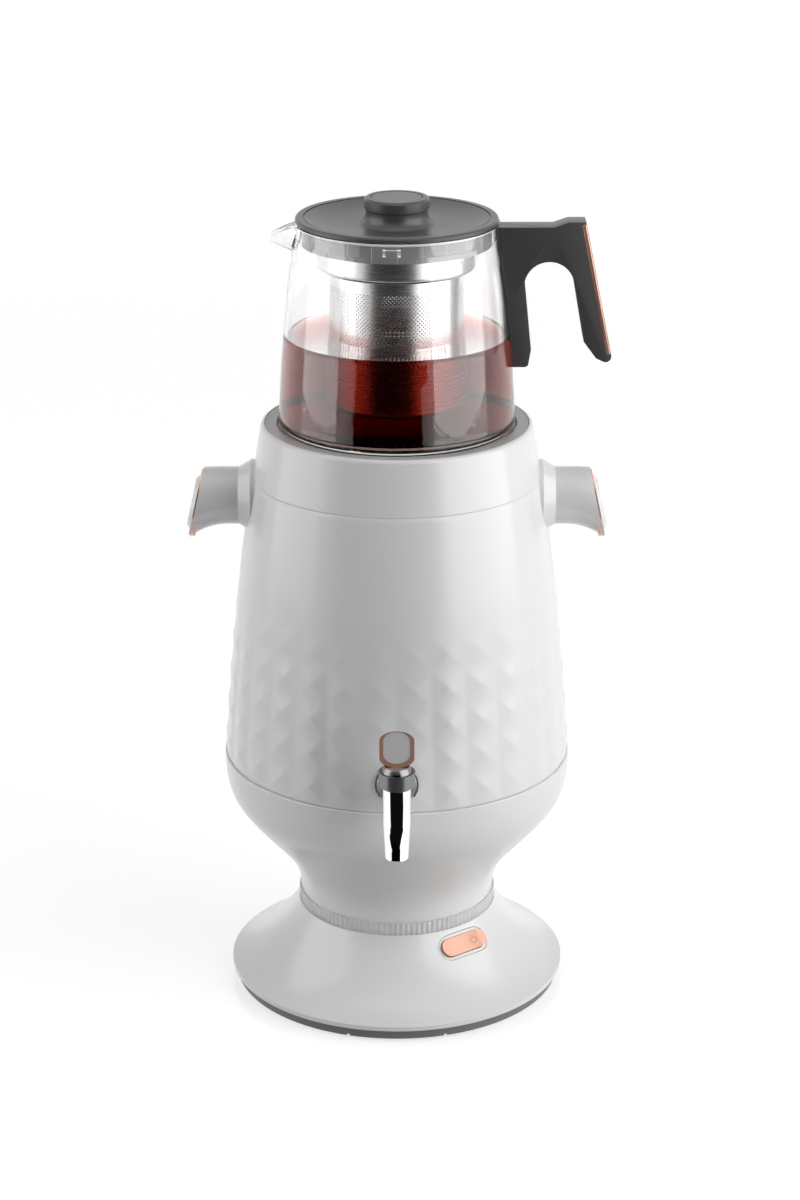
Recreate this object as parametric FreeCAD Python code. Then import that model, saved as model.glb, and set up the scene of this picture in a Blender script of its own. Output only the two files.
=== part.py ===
import FreeCAD, Part
import math
import os

# Electric samovar: a flared base, a tank in a faceted body with a tap, and a glass teapot on top.
# Millimetres, +Z up. The origin is on the body's axis, on the plane that the feet stand on.
# The tap faces -Y. The teapot's handle points along +X.

os.makedirs("parts", exist_ok=True)

V = FreeCAD.Vector
ORIGIN = V(0, 0, 0)
X = V(1, 0, 0)
Y = V(0, 1, 0)
Z = V(0, 0, 1)

# Clearances
fit_gap = 0.3
running_gap = 0.05
slot_gap = 0.15

# Base
foot_drop = 1.5
foot_radius = 74.0
foot_width = 8.0
foot_recess = 0.8
ring_radius = 95.3
ring_height = 6.1
ring_notch = 2.0
ring_notch_angle = 17.0
cover_floor = 2.0
base_radius = 98.0
base_rim = 2.6
base_wall = 2.6
flare_radius = 58.0
flare_height = 40.4
flare_mid_radius = 73.0
flare_mid_height = 21.1
flare_low_radius = 90.0
flare_low_height = 7.0
base_screw_radius = 1.6
base_screw_head = 3.2
base_screw_circle = 86.0
base_screw_count = 4
boss_radius = 4.5
gland_radius = 5.0
gland_bore = 3.5
gland_height = 18.0
gland_start = 76.0
gland_length = 20.0

# Light ring and its board
light_height = 7.7
light_wall = 3.4
flute_count = 116
flute_depth = 0.45
board_thickness = 1.6
board_inner = 40.0
lamp_count = 12
lamp_size = 3.0
lamp_height = 2.4

# Body shells
shell_wall = 3.0
neck_radius = 56.6
neck_spigot = 6.0
spigot_ledge = 3.2
belly_radius = 100.0
lower_height = 87.8
low_curve_radius = 69.7
low_curve_height = 30.3
high_curve_radius = 91.2
high_curve_height = 55.0
upper_height = 165.9
shoulder_radius = 81.4
shell_bulge = 2.25
lip_height = 5.0
lip_wall = 2.0
seam_chamfer = 0.5
facet_columns = 30
facet_rows = 12
facet_row_height = 10.0
facet_crease = 0.23
facet_fade_rows = 6
collar_height = 31.1
collar_top_radius = 76.3
collar_edge = 2.0

# Tank, seat ring and heater
tank_wall = 1.0
tank_bottom_radius = 86.0
tank_mouth_radius = 68.5
tank_floor_drop = 1.5
tank_corner = 7.0
flange_drop = 10.0
rib_height = 2.4
seal_height = 1.4
seat_bore = 58.0
seat_recess = 2.1
plate_radius = 62.0
plate_thickness = 3.0
element_radius = 45.0
element_half = 3.5
thermostat_radius = 8.0
thermostat_height = 9.0

# Side handles
handle_drop = 12.7
handle_radius = 16.3
handle_root = 20.5
handle_root_length = 7.0
handle_reach = 113.5
handle_end_drop = 4.2
handle_end_half = 20.8
handle_end_lean = 12.4
handle_straight = 97.0
handle_bite = 12.0
trim_width = 2.3
trim_depth = 3.0
trim_proud = 0.8
insert_dome = 3.6
handle_screw_radius = 2.0
handle_screw_head = 4.0
handle_screw_spacing = 14.0
handle_screw_drop = 4.0
handle_screw_bite = 10.0

# Tap
tap_rise = 17.0
tap_reach = 131.0
barrel_radius = 6.6
barrel_bore = 4.2
shank_radius = 5.6
shoulder_face = 90.5
shoulder_thread = 9.0
washer_thickness = 2.0
nut_across = 17.0
nut_height = 5.0
escutcheon_radius = 12.0
escutcheon_height = 4.4
body_radius = 7.8
body_top = 13.0
body_chamber = 5.9
chamber_floor = -6.0
seat_hole = 3.2
spout_drop = 26.0
spout_lean = 4.5
spout_radius = 6.4
spout_bore = 4.6
bonnet_radius = 9.9
bonnet_skirt = 1.6
bonnet_spigot = 6.0
pivot_rise = 20.5
bonnet_rise = 2.0
ball_radius = 8.4
ball_below = 3.0
ball_above = 5.0
fork_slot = 3.8
pivot_pin_radius = 1.0
link_pin_radius = 0.7
link_offset = 3.4
lever_angle = 25.0
stem_radius = 1.6
tongue_thickness = 3.0
tongue_foot = 2.0
eye_wall = 0.8
plug_radius = 4.6
plug_height = 3.0
spring_wire = 0.8
spring_radius = 3.4
spring_turns = 5
pad_lean = 28.0
pad_width = 18.9
pad_length = 19.6
pad_end = 5.2
pad_thickness = 3.6
pad_rim = 2.1
pad_proud = 0.6
pad_rise = 3.8
insert_depth = 1.0

# Rocker switch
switch_angle = 37.7
switch_radius = 63.6
switch_height = 39.6
switch_slope = 47.0
rocker_length = 30.0
rocker_width = 10.5
rocker_depth = 7.0
rocker_proud = 1.6
rocker_hollow = 1.0
rocker_tilt = 8.0
rocker_pin_radius = 1.2
switch_body_depth = 12.0
switch_wall = 1.6

# Teapot
glass_wall = 2.2
glass_floor = 3.2
glass_base_radius = 66.4
glass_corner = 4.0
glass_height = 115.9
glass_mouth_radius = 56.6
glass_neck_height = 108.0
glass_shoulder_radius = 59.0
glass_shoulder_height = 91.5
glass_mid_radius = 63.4
glass_mid_height = 50.5
beak_reach = 69.2
beak_tip_drop = 8.6
beak_half_width = 15.0
beak_depth = 20.0
beak_tip_half = 4.6
grip_thickness = 14.4
grip_top = 2.0
grip_raise = 2.8
grip_shoulder = 86.0
grip_raise_start = 94.0
grip_corner = 103.6
grip_foot = 119.0
grip_foot_height = 41.5
grip_width_foot = 8.5
arch_top = 19.3
arch_left = 70.4
arch_right = 97.4
arch_height = 33.0
root_foot_height = 35.0
strip_thickness = 2.2
strip_width = 9.0
strip_margin = 2.5

# Lid, knob and infuser
lid_radius = 55.8
lid_edge = 2.6
lid_dish = 4.0
lid_plate = 2.0
lid_rim_width = 5.0
groove_width = 0.8
groove_depth = 0.6
skirt_radius = 52.2
skirt_height = 12.0
skirt_wall = 2.0
skirt_tick_count = 24
lid_seal_height = 1.6
knob_radius = 18.0
knob_foot_radius = 21.0
knob_waist_radius = 17.2
knob_height = 10.8
knob_waist_rise = 8.0
knob_edge = 1.2
knob_cap_radius = 14.2
knob_cap_depth = 1.6
knob_screw_radius = 2.0
knob_screw_head = 4.2
cup_radius = 44.7
cup_height = 13.6
cup_flange = 49.0
steel_wall = 0.8
basket_radius = 37.3
basket_bottom = 352.0
bayonet_count = 3
bayonet_width = 12.0
bayonet_height = 2.4

# Heights that follow from the sizes above
ring_bottom = foot_drop
rim_bottom = ring_bottom + ring_height
flare_top = rim_bottom + flare_height
neck_bottom = flare_top + light_height
lower_seam = neck_bottom + lower_height
upper_seam = lower_seam + upper_height
collar_top = upper_seam + collar_height
handle_height = upper_seam - handle_drop
handle_end_height = handle_height - handle_end_drop
tap_height = lower_seam + tap_rise
flange_bottom = collar_top - flange_drop
facet_top = lower_seam + seam_chamfer + facet_rows * facet_row_height
tank_floor = lower_seam - tank_floor_drop
seat_level = collar_top - seat_recess
glass_bottom = seat_level + slot_gap
glass_top = glass_bottom + glass_height
lid_bottom = glass_top + fit_gap
lid_top = lid_bottom + lid_edge
plate_top = lid_top - lid_dish
pivot_height = tap_height + pivot_rise
stem_lift = link_offset * math.sin(math.radians(lever_angle))
stem_knee = pivot_height - pivot_pin_radius - stem_lift - 2 * fit_gap


class Profile:
    """A closed half-section of radius and height, drawn edge by edge and turned about the body's axis."""

    def __init__(self, radius, height):
        self.start = V(radius, 0, height)
        self.end = self.start
        self.edges = []

    def line(self, radius, height):
        point = V(radius, 0, height)
        if point.isEqual(self.end, 1e-6):
            return self
        self.edges.append(Part.makeLine(self.end, point))
        self.end = point
        return self

    def arc(self, mid_radius, mid_height, radius, height):
        point = V(radius, 0, height)
        middle = V(mid_radius, 0, mid_height)
        self.edges.append(Part.Arc(self.end, middle, point).toShape())
        self.end = point
        return self

    def curve(self, stops, first=None, last=None):
        points = [self.end] + [V(r, 0, z) for r, z in stops]
        spline = Part.BSplineCurve()
        if first:
            spline.interpolate(Points=points, InitialTangent=first, FinalTangent=last)
        else:
            spline.interpolate(points)
        self.edges.append(spline.toShape())
        self.end = points[-1]
        return self

    def turned(self):
        if self.end.distanceToPoint(self.start) > 1e-6:
            self.line(self.start.x, self.start.z)
        face = Part.Face(Part.Wire(self.edges))
        return face.revolve(ORIGIN, Z, 360)


def keep(node, shape):
    shape.exportStep("parts/" + node + ".step")


def ring(inner, outer, bottom, top):
    return Profile(inner, bottom).line(outer, bottom).line(outer, top).line(inner, top).turned()


def disc(radius, bottom, top):
    return Part.makeCylinder(radius, top - bottom, V(0, 0, bottom))


def rod(radius, length, start, direction):
    return Part.makeCylinder(radius, length, start, direction)


def block(low, high):
    return Part.makeBox(high.x - low.x, high.y - low.y, high.z - low.z, low)


def around(shape, count, first=0.0):
    copies = []
    for index in range(count):
        copy = shape.copy()
        copy.rotate(ORIGIN, Z, first + 360.0 * index / count)
        copies.append(copy)
    return copies


def slab(points, thickness, normal):
    """A flat piece from a closed outline, centred on the outline's plane."""
    wire = Part.makePolygon([p - normal * (thickness / 2) for p in points + [points[0]]])
    return Part.Face(wire).extrude(normal * thickness)


def stadium(length, width, depth):
    """A rounded bar lying along X in the XY plane, from z = 0 down to -depth."""
    half = (length - width) / 2
    r = width / 2
    top = Part.makeLine(V(-half, r, 0), V(half, r, 0))
    right = Part.Arc(V(half, r, 0), V(half + r, 0, 0), V(half, -r, 0)).toShape()
    low = Part.makeLine(V(half, -r, 0), V(-half, -r, 0))
    left = Part.Arc(V(-half, -r, 0), V(-half - r, 0, 0), V(-half, r, 0)).toShape()
    face = Part.Face(Part.Wire([top, right, low, left]))
    return face.extrude(V(0, 0, -depth))


def upper_radius(height):
    """The upper shell's outside radius: one long arc from the belly to the shoulder."""
    share = (height - lower_seam) / upper_height
    chord = belly_radius + (shoulder_radius - belly_radius) * share
    return chord + 4 * shell_bulge * share * (1 - share)


def collar_radius(height):
    share = (height - upper_seam) / collar_height
    return shoulder_radius + (collar_top_radius - shoulder_radius) * share


def tank_radius(height):
    """The tank's inside radius."""
    share = (height - tank_floor) / (flange_bottom - tank_floor)
    return tank_bottom_radius + (tank_mouth_radius - tank_bottom_radius) * share


def glass_curve(profile, inset, rising):
    """The teapot's wall between its bottom corner and its neck."""
    stops = [
        (glass_mid_radius - inset, glass_bottom + glass_mid_height),
        (glass_shoulder_radius - inset, glass_bottom + glass_shoulder_height),
        (glass_mouth_radius - inset, glass_bottom + glass_neck_height),
    ]
    if not rising:
        corner = max(glass_corner, glass_floor)
        stops = stops[1::-1] + [(glass_base_radius - inset, glass_bottom + corner)]
    return profile.curve(stops)


def base_flare(profile, inset, rising):
    """The base's concave flare between its rim and its neck."""
    stops = [
        (flare_low_radius - inset / 2, rim_bottom + flare_low_height - inset),
        (flare_mid_radius - inset * 0.7, rim_bottom + flare_mid_height - inset * 0.7),
        (flare_radius - inset, flare_top - inset * 0.4),
    ]
    if not rising:
        stops = stops[1::-1] + [(base_radius - inset, rim_bottom + base_rim - inset)]
    return profile.curve(stops)


def switch_place(shape):
    """Carries a piece drawn on the XY plane onto the slope of the base."""
    shape.rotate(ORIGIN, X, switch_slope)
    shape.translate(V(0, -switch_radius, switch_height))
    shape.rotate(ORIGIN, Z, switch_angle)
    return shape


def make_base():
    shell = Profile(base_radius, rim_bottom)
    shell.line(base_radius, rim_bottom + base_rim)
    base_flare(shell, 0, True)
    shell.line(flare_radius, flare_top)
    shell.line(flare_radius - light_wall, flare_top)
    shell.line(flare_radius - light_wall, flare_top - neck_spigot)
    shell.line(flare_radius, flare_top - neck_spigot)
    shell.curve([
        (flare_mid_radius - base_wall * 0.66, rim_bottom + flare_mid_height - base_wall * 0.75),
        (flare_low_radius - base_wall * 0.5, rim_bottom + flare_low_height - base_wall * 0.86),
        (base_radius - base_wall, rim_bottom),
    ])
    body = shell.turned()
    post_height = flare_low_height - base_wall / 2
    posts = around(disc_at(boss_radius, base_screw_circle, rim_bottom, rim_bottom + post_height), base_screw_count, 45)
    body = body.fuse(posts).removeSplitter()
    bore = disc_at(base_screw_radius, base_screw_circle, ring_bottom, rim_bottom + post_height)
    body = body.cut(Part.makeCompound(around(bore, base_screw_count, 45)))
    body = body.cut(switch_bar(switch_wall + 2 * fit_gap, -switch_body_depth, rocker_depth))
    sleeve = rod(gland_radius, gland_length, V(0, gland_start, gland_height), Y)
    keep("base_shell", body.cut(sleeve))
    keep("cord_gland", sleeve.cut(rod(gland_bore, 2 * gland_length, V(0, gland_start - 1, gland_height), Y)))

    cover = Profile(0, rim_bottom - cover_floor).line(ring_radius - cover_floor, rim_bottom - cover_floor)
    cover.line(ring_radius - cover_floor, ring_bottom)
    cover.line(ring_radius, ring_bottom).line(ring_radius, rim_bottom).line(0, rim_bottom)
    plate = cover.turned()
    notch = block(
        V(-ring_notch / 2, -ring_radius - 1, ring_bottom - 1),
        V(ring_notch / 2, -ring_radius + cover_floor + 1, ring_bottom + ring_notch / 2),
    )
    for angle in (-ring_notch_angle, ring_notch_angle):
        cut = notch.copy()
        cut.rotate(ORIGIN, Z, angle)
        plate = plate.cut(cut)
    seat_top = rim_bottom - cover_floor
    inner = foot_radius - foot_width / 2
    outer = foot_radius + foot_width / 2
    groove_top = seat_top + foot_recess
    plate = plate.cut(ring(inner, outer, seat_top, groove_top))
    hole = disc_at(base_screw_radius, base_screw_circle, ring_bottom, rim_bottom)
    plate = plate.cut(Part.makeCompound(around(hole, base_screw_count, 45)))
    keep("bottom_cover", plate)

    foot = Profile(inner + 1, 0).line(outer - 1, 0).line(outer, seat_top / 2)
    foot.line(outer, groove_top).line(inner, groove_top).line(inner, seat_top / 2)
    keep("foot_ring", foot.turned())

    head = disc_at(base_screw_head, base_screw_circle, seat_top - 1.6, seat_top)
    shank = disc_at(base_screw_radius, base_screw_circle, seat_top, seat_top + cover_floor + post_height)
    screw = head.fuse(shank)
    keep("base_screws", Part.makeCompound(around(screw, base_screw_count, 45)))


def disc_at(radius, circle, bottom, top):
    return Part.makeCylinder(radius, top - bottom, V(circle, 0, bottom))


def make_light():
    points = []
    for index in range(2 * flute_count):
        angle = math.pi * index / flute_count
        radius = flare_radius - 0.3 - flute_depth * (index % 2)
        points.append(V(radius * math.cos(angle), radius * math.sin(angle), flare_top))
    outline = Part.Face(Part.makePolygon(points + [points[0]]))
    band = outline.extrude(V(0, 0, light_height))
    band = band.cut(disc(flare_radius - light_wall, flare_top, neck_bottom))
    keep("light_ring", band)

    board_bottom = flare_top - neck_spigot + spigot_ledge
    outer = flare_radius - light_wall - shell_wall - 2 * fit_gap
    board = ring(board_inner, outer, board_bottom, board_bottom + board_thickness)
    lamp = block(
        V(outer - lamp_size, -lamp_size / 2, board_bottom + board_thickness),
        V(outer, lamp_size / 2, board_bottom + board_thickness + lamp_height),
    )
    keep("light_board", board.fuse(around(lamp, lamp_count)))


def make_lower_shell():
    lip_outer = belly_radius - shell_wall - fit_gap
    shell = Profile(neck_radius, neck_bottom)
    shell.curve(
        [
            (low_curve_radius, neck_bottom + low_curve_height),
            (high_curve_radius, neck_bottom + high_curve_height),
            (belly_radius, lower_seam - seam_chamfer),
        ],
        V(0, 0, 1),
        V(0, 0, 1),
    )
    shell.line(belly_radius - seam_chamfer, lower_seam)
    shell.line(lip_outer, lower_seam)
    shell.line(lip_outer, lower_seam + lip_height)
    shell.line(lip_outer - lip_wall, lower_seam + lip_height)
    shell.line(lip_outer - lip_wall, lower_seam - lip_height)
    shell.curve(
        [
            (high_curve_radius - shell_wall, neck_bottom + high_curve_height),
            (low_curve_radius - shell_wall, neck_bottom + low_curve_height),
            (neck_radius - shell_wall - fit_gap, neck_bottom + shell_wall),
        ]
    )
    spigot = flare_radius - light_wall - fit_gap
    spigot_bottom = flare_top - neck_spigot
    shell.line(spigot - shell_wall, neck_bottom + shell_wall)
    shell.line(spigot - shell_wall, spigot_bottom + spigot_ledge)
    shell.line(spigot - 2 * shell_wall, spigot_bottom + spigot_ledge)
    shell.line(spigot - 2 * shell_wall, spigot_bottom)
    shell.line(spigot, spigot_bottom)
    shell.line(spigot, neck_bottom)
    window = block(
        V(spigot - 2 * shell_wall, -lamp_size, flare_top + 1), V(spigot + 1, lamp_size, neck_bottom - 1)
    )
    keep("lower_shell", shell.turned().cut(Part.makeCompound(around(window, lamp_count))))


def facet_radius(row):
    """Even rows lie in by the depth of one flat and a crease, and come out again towards the plain top."""
    radius = upper_radius(lower_seam + seam_chamfer + row * facet_row_height)
    if row % 2:
        return radius
    depth = radius * (1 - math.cos(math.pi / facet_columns)) + facet_crease
    return radius - depth * min(1.0, (facet_rows - row) / facet_fade_rows)


def facet_point(row, step):
    """A corner of the diamond field: whole steps on even rows, half steps on odd rows."""
    height = lower_seam + seam_chamfer + row * facet_row_height
    angle = 2 * math.pi * (step + 0.5 * (row % 2)) / facet_columns
    radius = facet_radius(row)
    return V(radius * math.sin(angle), -radius * math.cos(angle), height)


def flat_triangle(a, b, c):
    return Part.Face(Part.makePolygon([a, b, c, a]))


def faceted_band():
    """A solid ring of diamonds: those on odd rows have an upright crease, those on even rows a level one."""
    faces = []
    for row in range(1, facet_rows, 2):
        for step in range(facet_columns):
            left = facet_point(row, step - 1)
            right = facet_point(row, step)
            below = facet_point(row - 1, step)
            above = facet_point(row + 1, step)
            faces.append(flat_triangle(below, right, above))
            faces.append(flat_triangle(below, above, left))
    for row in range(0, facet_rows + 1, 2):
        for step in range(facet_columns):
            left = facet_point(row, step)
            right = facet_point(row, step + 1)
            if row < facet_rows:
                faces.append(flat_triangle(left, right, facet_point(row + 1, step)))
            if row > 0:
                faces.append(flat_triangle(left, facet_point(row - 1, step), right))
    for row in (0, facet_rows):
        rim = [facet_point(row, step) for step in range(facet_columns)]
        faces.append(Part.Face(Part.makePolygon(rim + [rim[0]])))
    return Part.Solid(Part.Shell(faces))


def plain_top(profile):
    """The outside of the upper shell between the facets and its top edge."""
    middle = (facet_top + upper_seam) / 2
    profile.line(upper_radius(facet_top), facet_top)
    return profile.arc(upper_radius(middle), middle, shoulder_radius, upper_seam - seam_chamfer)


def make_upper_shell():
    band = faceted_band()
    band_bottom = lower_seam + seam_chamfer
    plain = plain_top(Profile(0, facet_top)).line(shoulder_radius - seam_chamfer, upper_seam).line(0, upper_seam)
    edge = Profile(0, lower_seam).line(facet_radius(0) * math.cos(math.pi / facet_columns), lower_seam)
    edge.line(facet_radius(0) * math.cos(math.pi / facet_columns), band_bottom).line(0, band_bottom)
    middle = (lower_seam + upper_seam) / 2
    hollow = Profile(0, lower_seam - 1).line(belly_radius - shell_wall, lower_seam - 1)
    hollow.line(belly_radius - shell_wall, lower_seam)
    hollow.arc(
        upper_radius(middle) - shell_wall, middle, shoulder_radius - shell_wall, upper_seam
    )
    hollow.line(shoulder_radius - shell_wall, upper_seam + 1).line(0, upper_seam + 1)
    body = band.fuse([plain.turned(), edge.turned()])
    body = body.cut(hollow.turned())
    hole = rod(barrel_radius + 2 * fit_gap, 2 * belly_radius, V(0, 0, tap_height), V(0, -1, 0))
    body = body.cut(hole)
    for side in (-1, 1):
        for lift in (-1, 1):
            body = body.cut(handle_screw_bore(side, lift))
    keep("upper_shell", body)


def handle_screw_bore(side, lift):
    height = handle_height + lift * handle_screw_spacing / 2 - handle_screw_drop
    reach = shoulder_radius + handle_screw_bite
    return rod(handle_screw_radius, reach / 2, V(side * reach / 2, 0, height), V(side, 0, 0))


def make_collar():
    inner_low = shoulder_radius - shell_wall
    lip_outer = inner_low - fit_gap
    inner_top = collar_top_radius - collar_edge
    collar = Profile(shoulder_radius - seam_chamfer, upper_seam)
    collar.line(shoulder_radius, upper_seam + seam_chamfer)
    collar.line(collar_radius(collar_top - collar_edge), collar_top - collar_edge)
    bend = collar_edge * 0.3
    collar.arc(collar_top_radius - bend, collar_top - bend, inner_top, collar_top)
    collar.line(inner_top, flange_bottom)
    collar.line(tank_mouth_radius + tank_wall + fit_gap, flange_bottom)
    collar.line(tank_mouth_radius + tank_wall + fit_gap, flange_bottom - rib_height)
    collar.line(lip_outer - lip_wall, upper_seam + lip_height)
    collar.line(lip_outer - lip_wall, upper_seam - lip_height)
    collar.line(lip_outer, upper_seam - lip_height)
    collar.line(lip_outer, upper_seam)
    keep("collar", collar.turned())


def make_tank():
    flange = collar_top_radius - collar_edge - fit_gap
    corner = tank_corner
    tank = Profile(0, tank_floor - tank_wall)
    tank.line(tank_bottom_radius - corner, tank_floor - tank_wall)
    tank.arc(
        tank_bottom_radius - corner * 0.29 + tank_wall, tank_floor + corner * 0.29 - tank_wall,
        tank_radius(tank_floor + corner) + tank_wall, tank_floor + corner,
    )
    tank.line(tank_mouth_radius + tank_wall, flange_bottom)
    tank.line(flange, flange_bottom).line(flange, flange_bottom + tank_wall)
    tank.line(tank_mouth_radius, flange_bottom + tank_wall)
    tank.line(tank_mouth_radius, flange_bottom)
    tank.line(tank_radius(tank_floor + corner), tank_floor + corner)
    tank.arc(
        tank_bottom_radius - corner * 0.29, tank_floor + corner * 0.29,
        tank_bottom_radius - corner, tank_floor,
    )
    tank.line(0, tank_floor)
    body = tank.turned()
    body = body.cut(rod(shank_radius + fit_gap, belly_radius, V(0, 0, tap_height), V(0, -1, 0)))
    keep("water_tank", body)

    seal_bottom = flange_bottom + tank_wall
    keep("tank_seal", ring(tank_mouth_radius, flange, seal_bottom, seal_bottom + seal_height))

    seat = Profile(seat_bore, seal_bottom + seal_height)
    seat.line(flange, seal_bottom + seal_height)
    seat.line(flange, collar_top - slot_gap)
    seat.line(glass_base_radius + 4 * fit_gap, collar_top - 2 * slot_gap)
    seat.line(glass_base_radius + 2 * fit_gap, seat_level)
    seat.line(seat_bore + 1, seat_level).line(seat_bore, seat_level - 1)
    keep("seat_ring", seat.turned())

    plate_bottom = tank_floor - tank_wall - plate_thickness
    keep("heating_plate", disc(plate_radius, plate_bottom, tank_floor - tank_wall))
    element = Profile(element_radius - element_half, plate_bottom)
    element.line(element_radius - element_half, plate_bottom - element_half)
    element.arc(
        element_radius, plate_bottom - 2 * element_half,
        element_radius + element_half, plate_bottom - element_half,
    )
    element.line(element_radius + element_half, plate_bottom)
    keep("heating_element", element.turned())
    body = disc(thermostat_radius, plate_bottom - thermostat_height, plate_bottom)
    body = body.fuse(ring(thermostat_radius - 1, thermostat_radius + 3, plate_bottom - 1.2, plate_bottom))
    tag = block(V(-0.4, 2, plate_bottom - thermostat_height - 6), V(0.4, 6, plate_bottom - thermostat_height))
    body = body.fuse([tag, tag.mirror(ORIGIN, Y)])
    keep("thermostat", body)


def handle_section(reach, height, half_height, half_width, lean):
    """An upright ellipse across the handle, leaning outwards at its foot."""
    middle = V(reach, 0, height)
    up = V(-math.sin(math.radians(lean)), 0, math.cos(math.radians(lean)))
    if half_height > half_width:
        oval = Part.Ellipse(middle + up * half_height, middle + Y * half_width, middle)
    else:
        oval = Part.Circle(middle, X, half_width)
    return Part.Wire(oval.toShape())


def end_bar(inset, depth_in, depth_out):
    """An oval bar square to the handle's leaning end."""
    lean = math.radians(handle_end_lean)
    out = V(math.cos(lean), 0, math.sin(lean))
    start = V(handle_reach, 0, handle_end_height) - out * depth_in
    up = V(-math.sin(lean), 0, math.cos(lean))
    oval = Part.Ellipse(
        start + up * (handle_end_half - inset), start + Y * (handle_radius - inset), start
    )
    return Part.Face(Part.Wire(oval.toShape())).extrude(out * (depth_in + depth_out))


def make_side_handles():
    outer = Profile(0, facet_top)
    plain_top(outer).line(shoulder_radius, upper_seam).line(shoulder_radius, upper_seam + seam_chamfer)
    outer.line(collar_radius(collar_top - collar_edge), collar_top - collar_edge)
    outer.line(0, collar_top - collar_edge)
    body_space = outer.turned()

    start = shoulder_radius - handle_bite
    root_face = shoulder_radius + 1
    root = Part.makeCone(handle_root, handle_radius, handle_root_length, V(root_face, 0, handle_height), X)
    root = root.fuse(rod(handle_root, handle_bite + 1, V(start, 0, handle_height), X))
    tube = rod(handle_radius, handle_straight - start, V(start, 0, handle_height), X)
    tail = Part.makeLoft(
        [
            handle_section(handle_straight, handle_height, handle_radius, handle_radius, 0),
            handle_section(
                (handle_straight + handle_reach) / 2, (handle_height * 3 + handle_end_height) / 4,
                (handle_radius * 3 + handle_end_half) / 4, handle_radius - 0.01, handle_end_lean / 2,
            ),
            handle_section(handle_reach, handle_end_height, handle_end_half, handle_radius, handle_end_lean),
        ],
        True,
    )
    grip = tube.fuse([root, tail]).cut(body_space)
    pocket = end_bar(trim_width / 2, trim_depth, 1)
    grip = grip.cut(pocket)
    for lift in (-1, 1):
        grip = grip.cut(handle_screw_bore(1, lift))
    trim = end_bar(trim_width / 2, trim_depth, trim_proud).cut(end_bar(trim_width * 1.5, trim_depth, 1))
    cap = end_bar(trim_width * 1.5, trim_depth, 0)
    low = end_bar_oval(trim_width * 1.5, 0)
    high = end_bar_oval(trim_width * 1.5 + insert_dome, insert_dome * 0.8)
    dome = Part.makeLoft([low, high], True, True)
    insert = cap.fuse(dome).removeSplitter()
    pieces = {"side_handle": grip, "handle_trim": trim, "handle_insert": insert}
    for name, shape in pieces.items():
        keep(name + "_right", shape)
        keep(name + "_left", shape.mirror(ORIGIN, X))

    screws = []
    for side in (-1, 1):
        for lift in (-1, 1):
            height = handle_height + lift * handle_screw_spacing / 2 - handle_screw_drop
            face = upper_radius(height) - shell_wall - 2 * fit_gap
            length = shoulder_radius + handle_screw_bite - face
            head = rod(handle_screw_head, 2, V(side * (face - 2), 0, height), V(side, 0, 0))
            shank = rod(handle_screw_radius, length, V(side * face, 0, height), V(side, 0, 0))
            screws.append(head.fuse(shank))
    keep("handle_screws", Part.makeCompound(screws))


def end_bar_oval(inset, rise):
    lean = math.radians(handle_end_lean)
    out = V(math.cos(lean), 0, math.sin(lean))
    up = V(-math.sin(lean), 0, math.cos(lean))
    start = V(handle_reach, 0, handle_end_height) + out * rise
    oval = Part.Ellipse(
        start + up * (handle_end_half - inset), start + Y * (handle_radius - inset), start
    )
    return Part.Wire(oval.toShape())


def tank_skin(offset):
    """The tank's wall as a plain cone, grown by an offset, for pieces that bed on it."""
    low = tank_radius(tank_floor) + offset
    high = tank_radius(flange_bottom) + offset
    return Part.makeCone(low, high, flange_bottom - tank_floor, V(0, 0, tank_floor))


def spout_section(height, lean, radius):
    return Part.Wire(Part.makeCircle(radius, V(0, -tap_reach - lean, height), Z))


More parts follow.
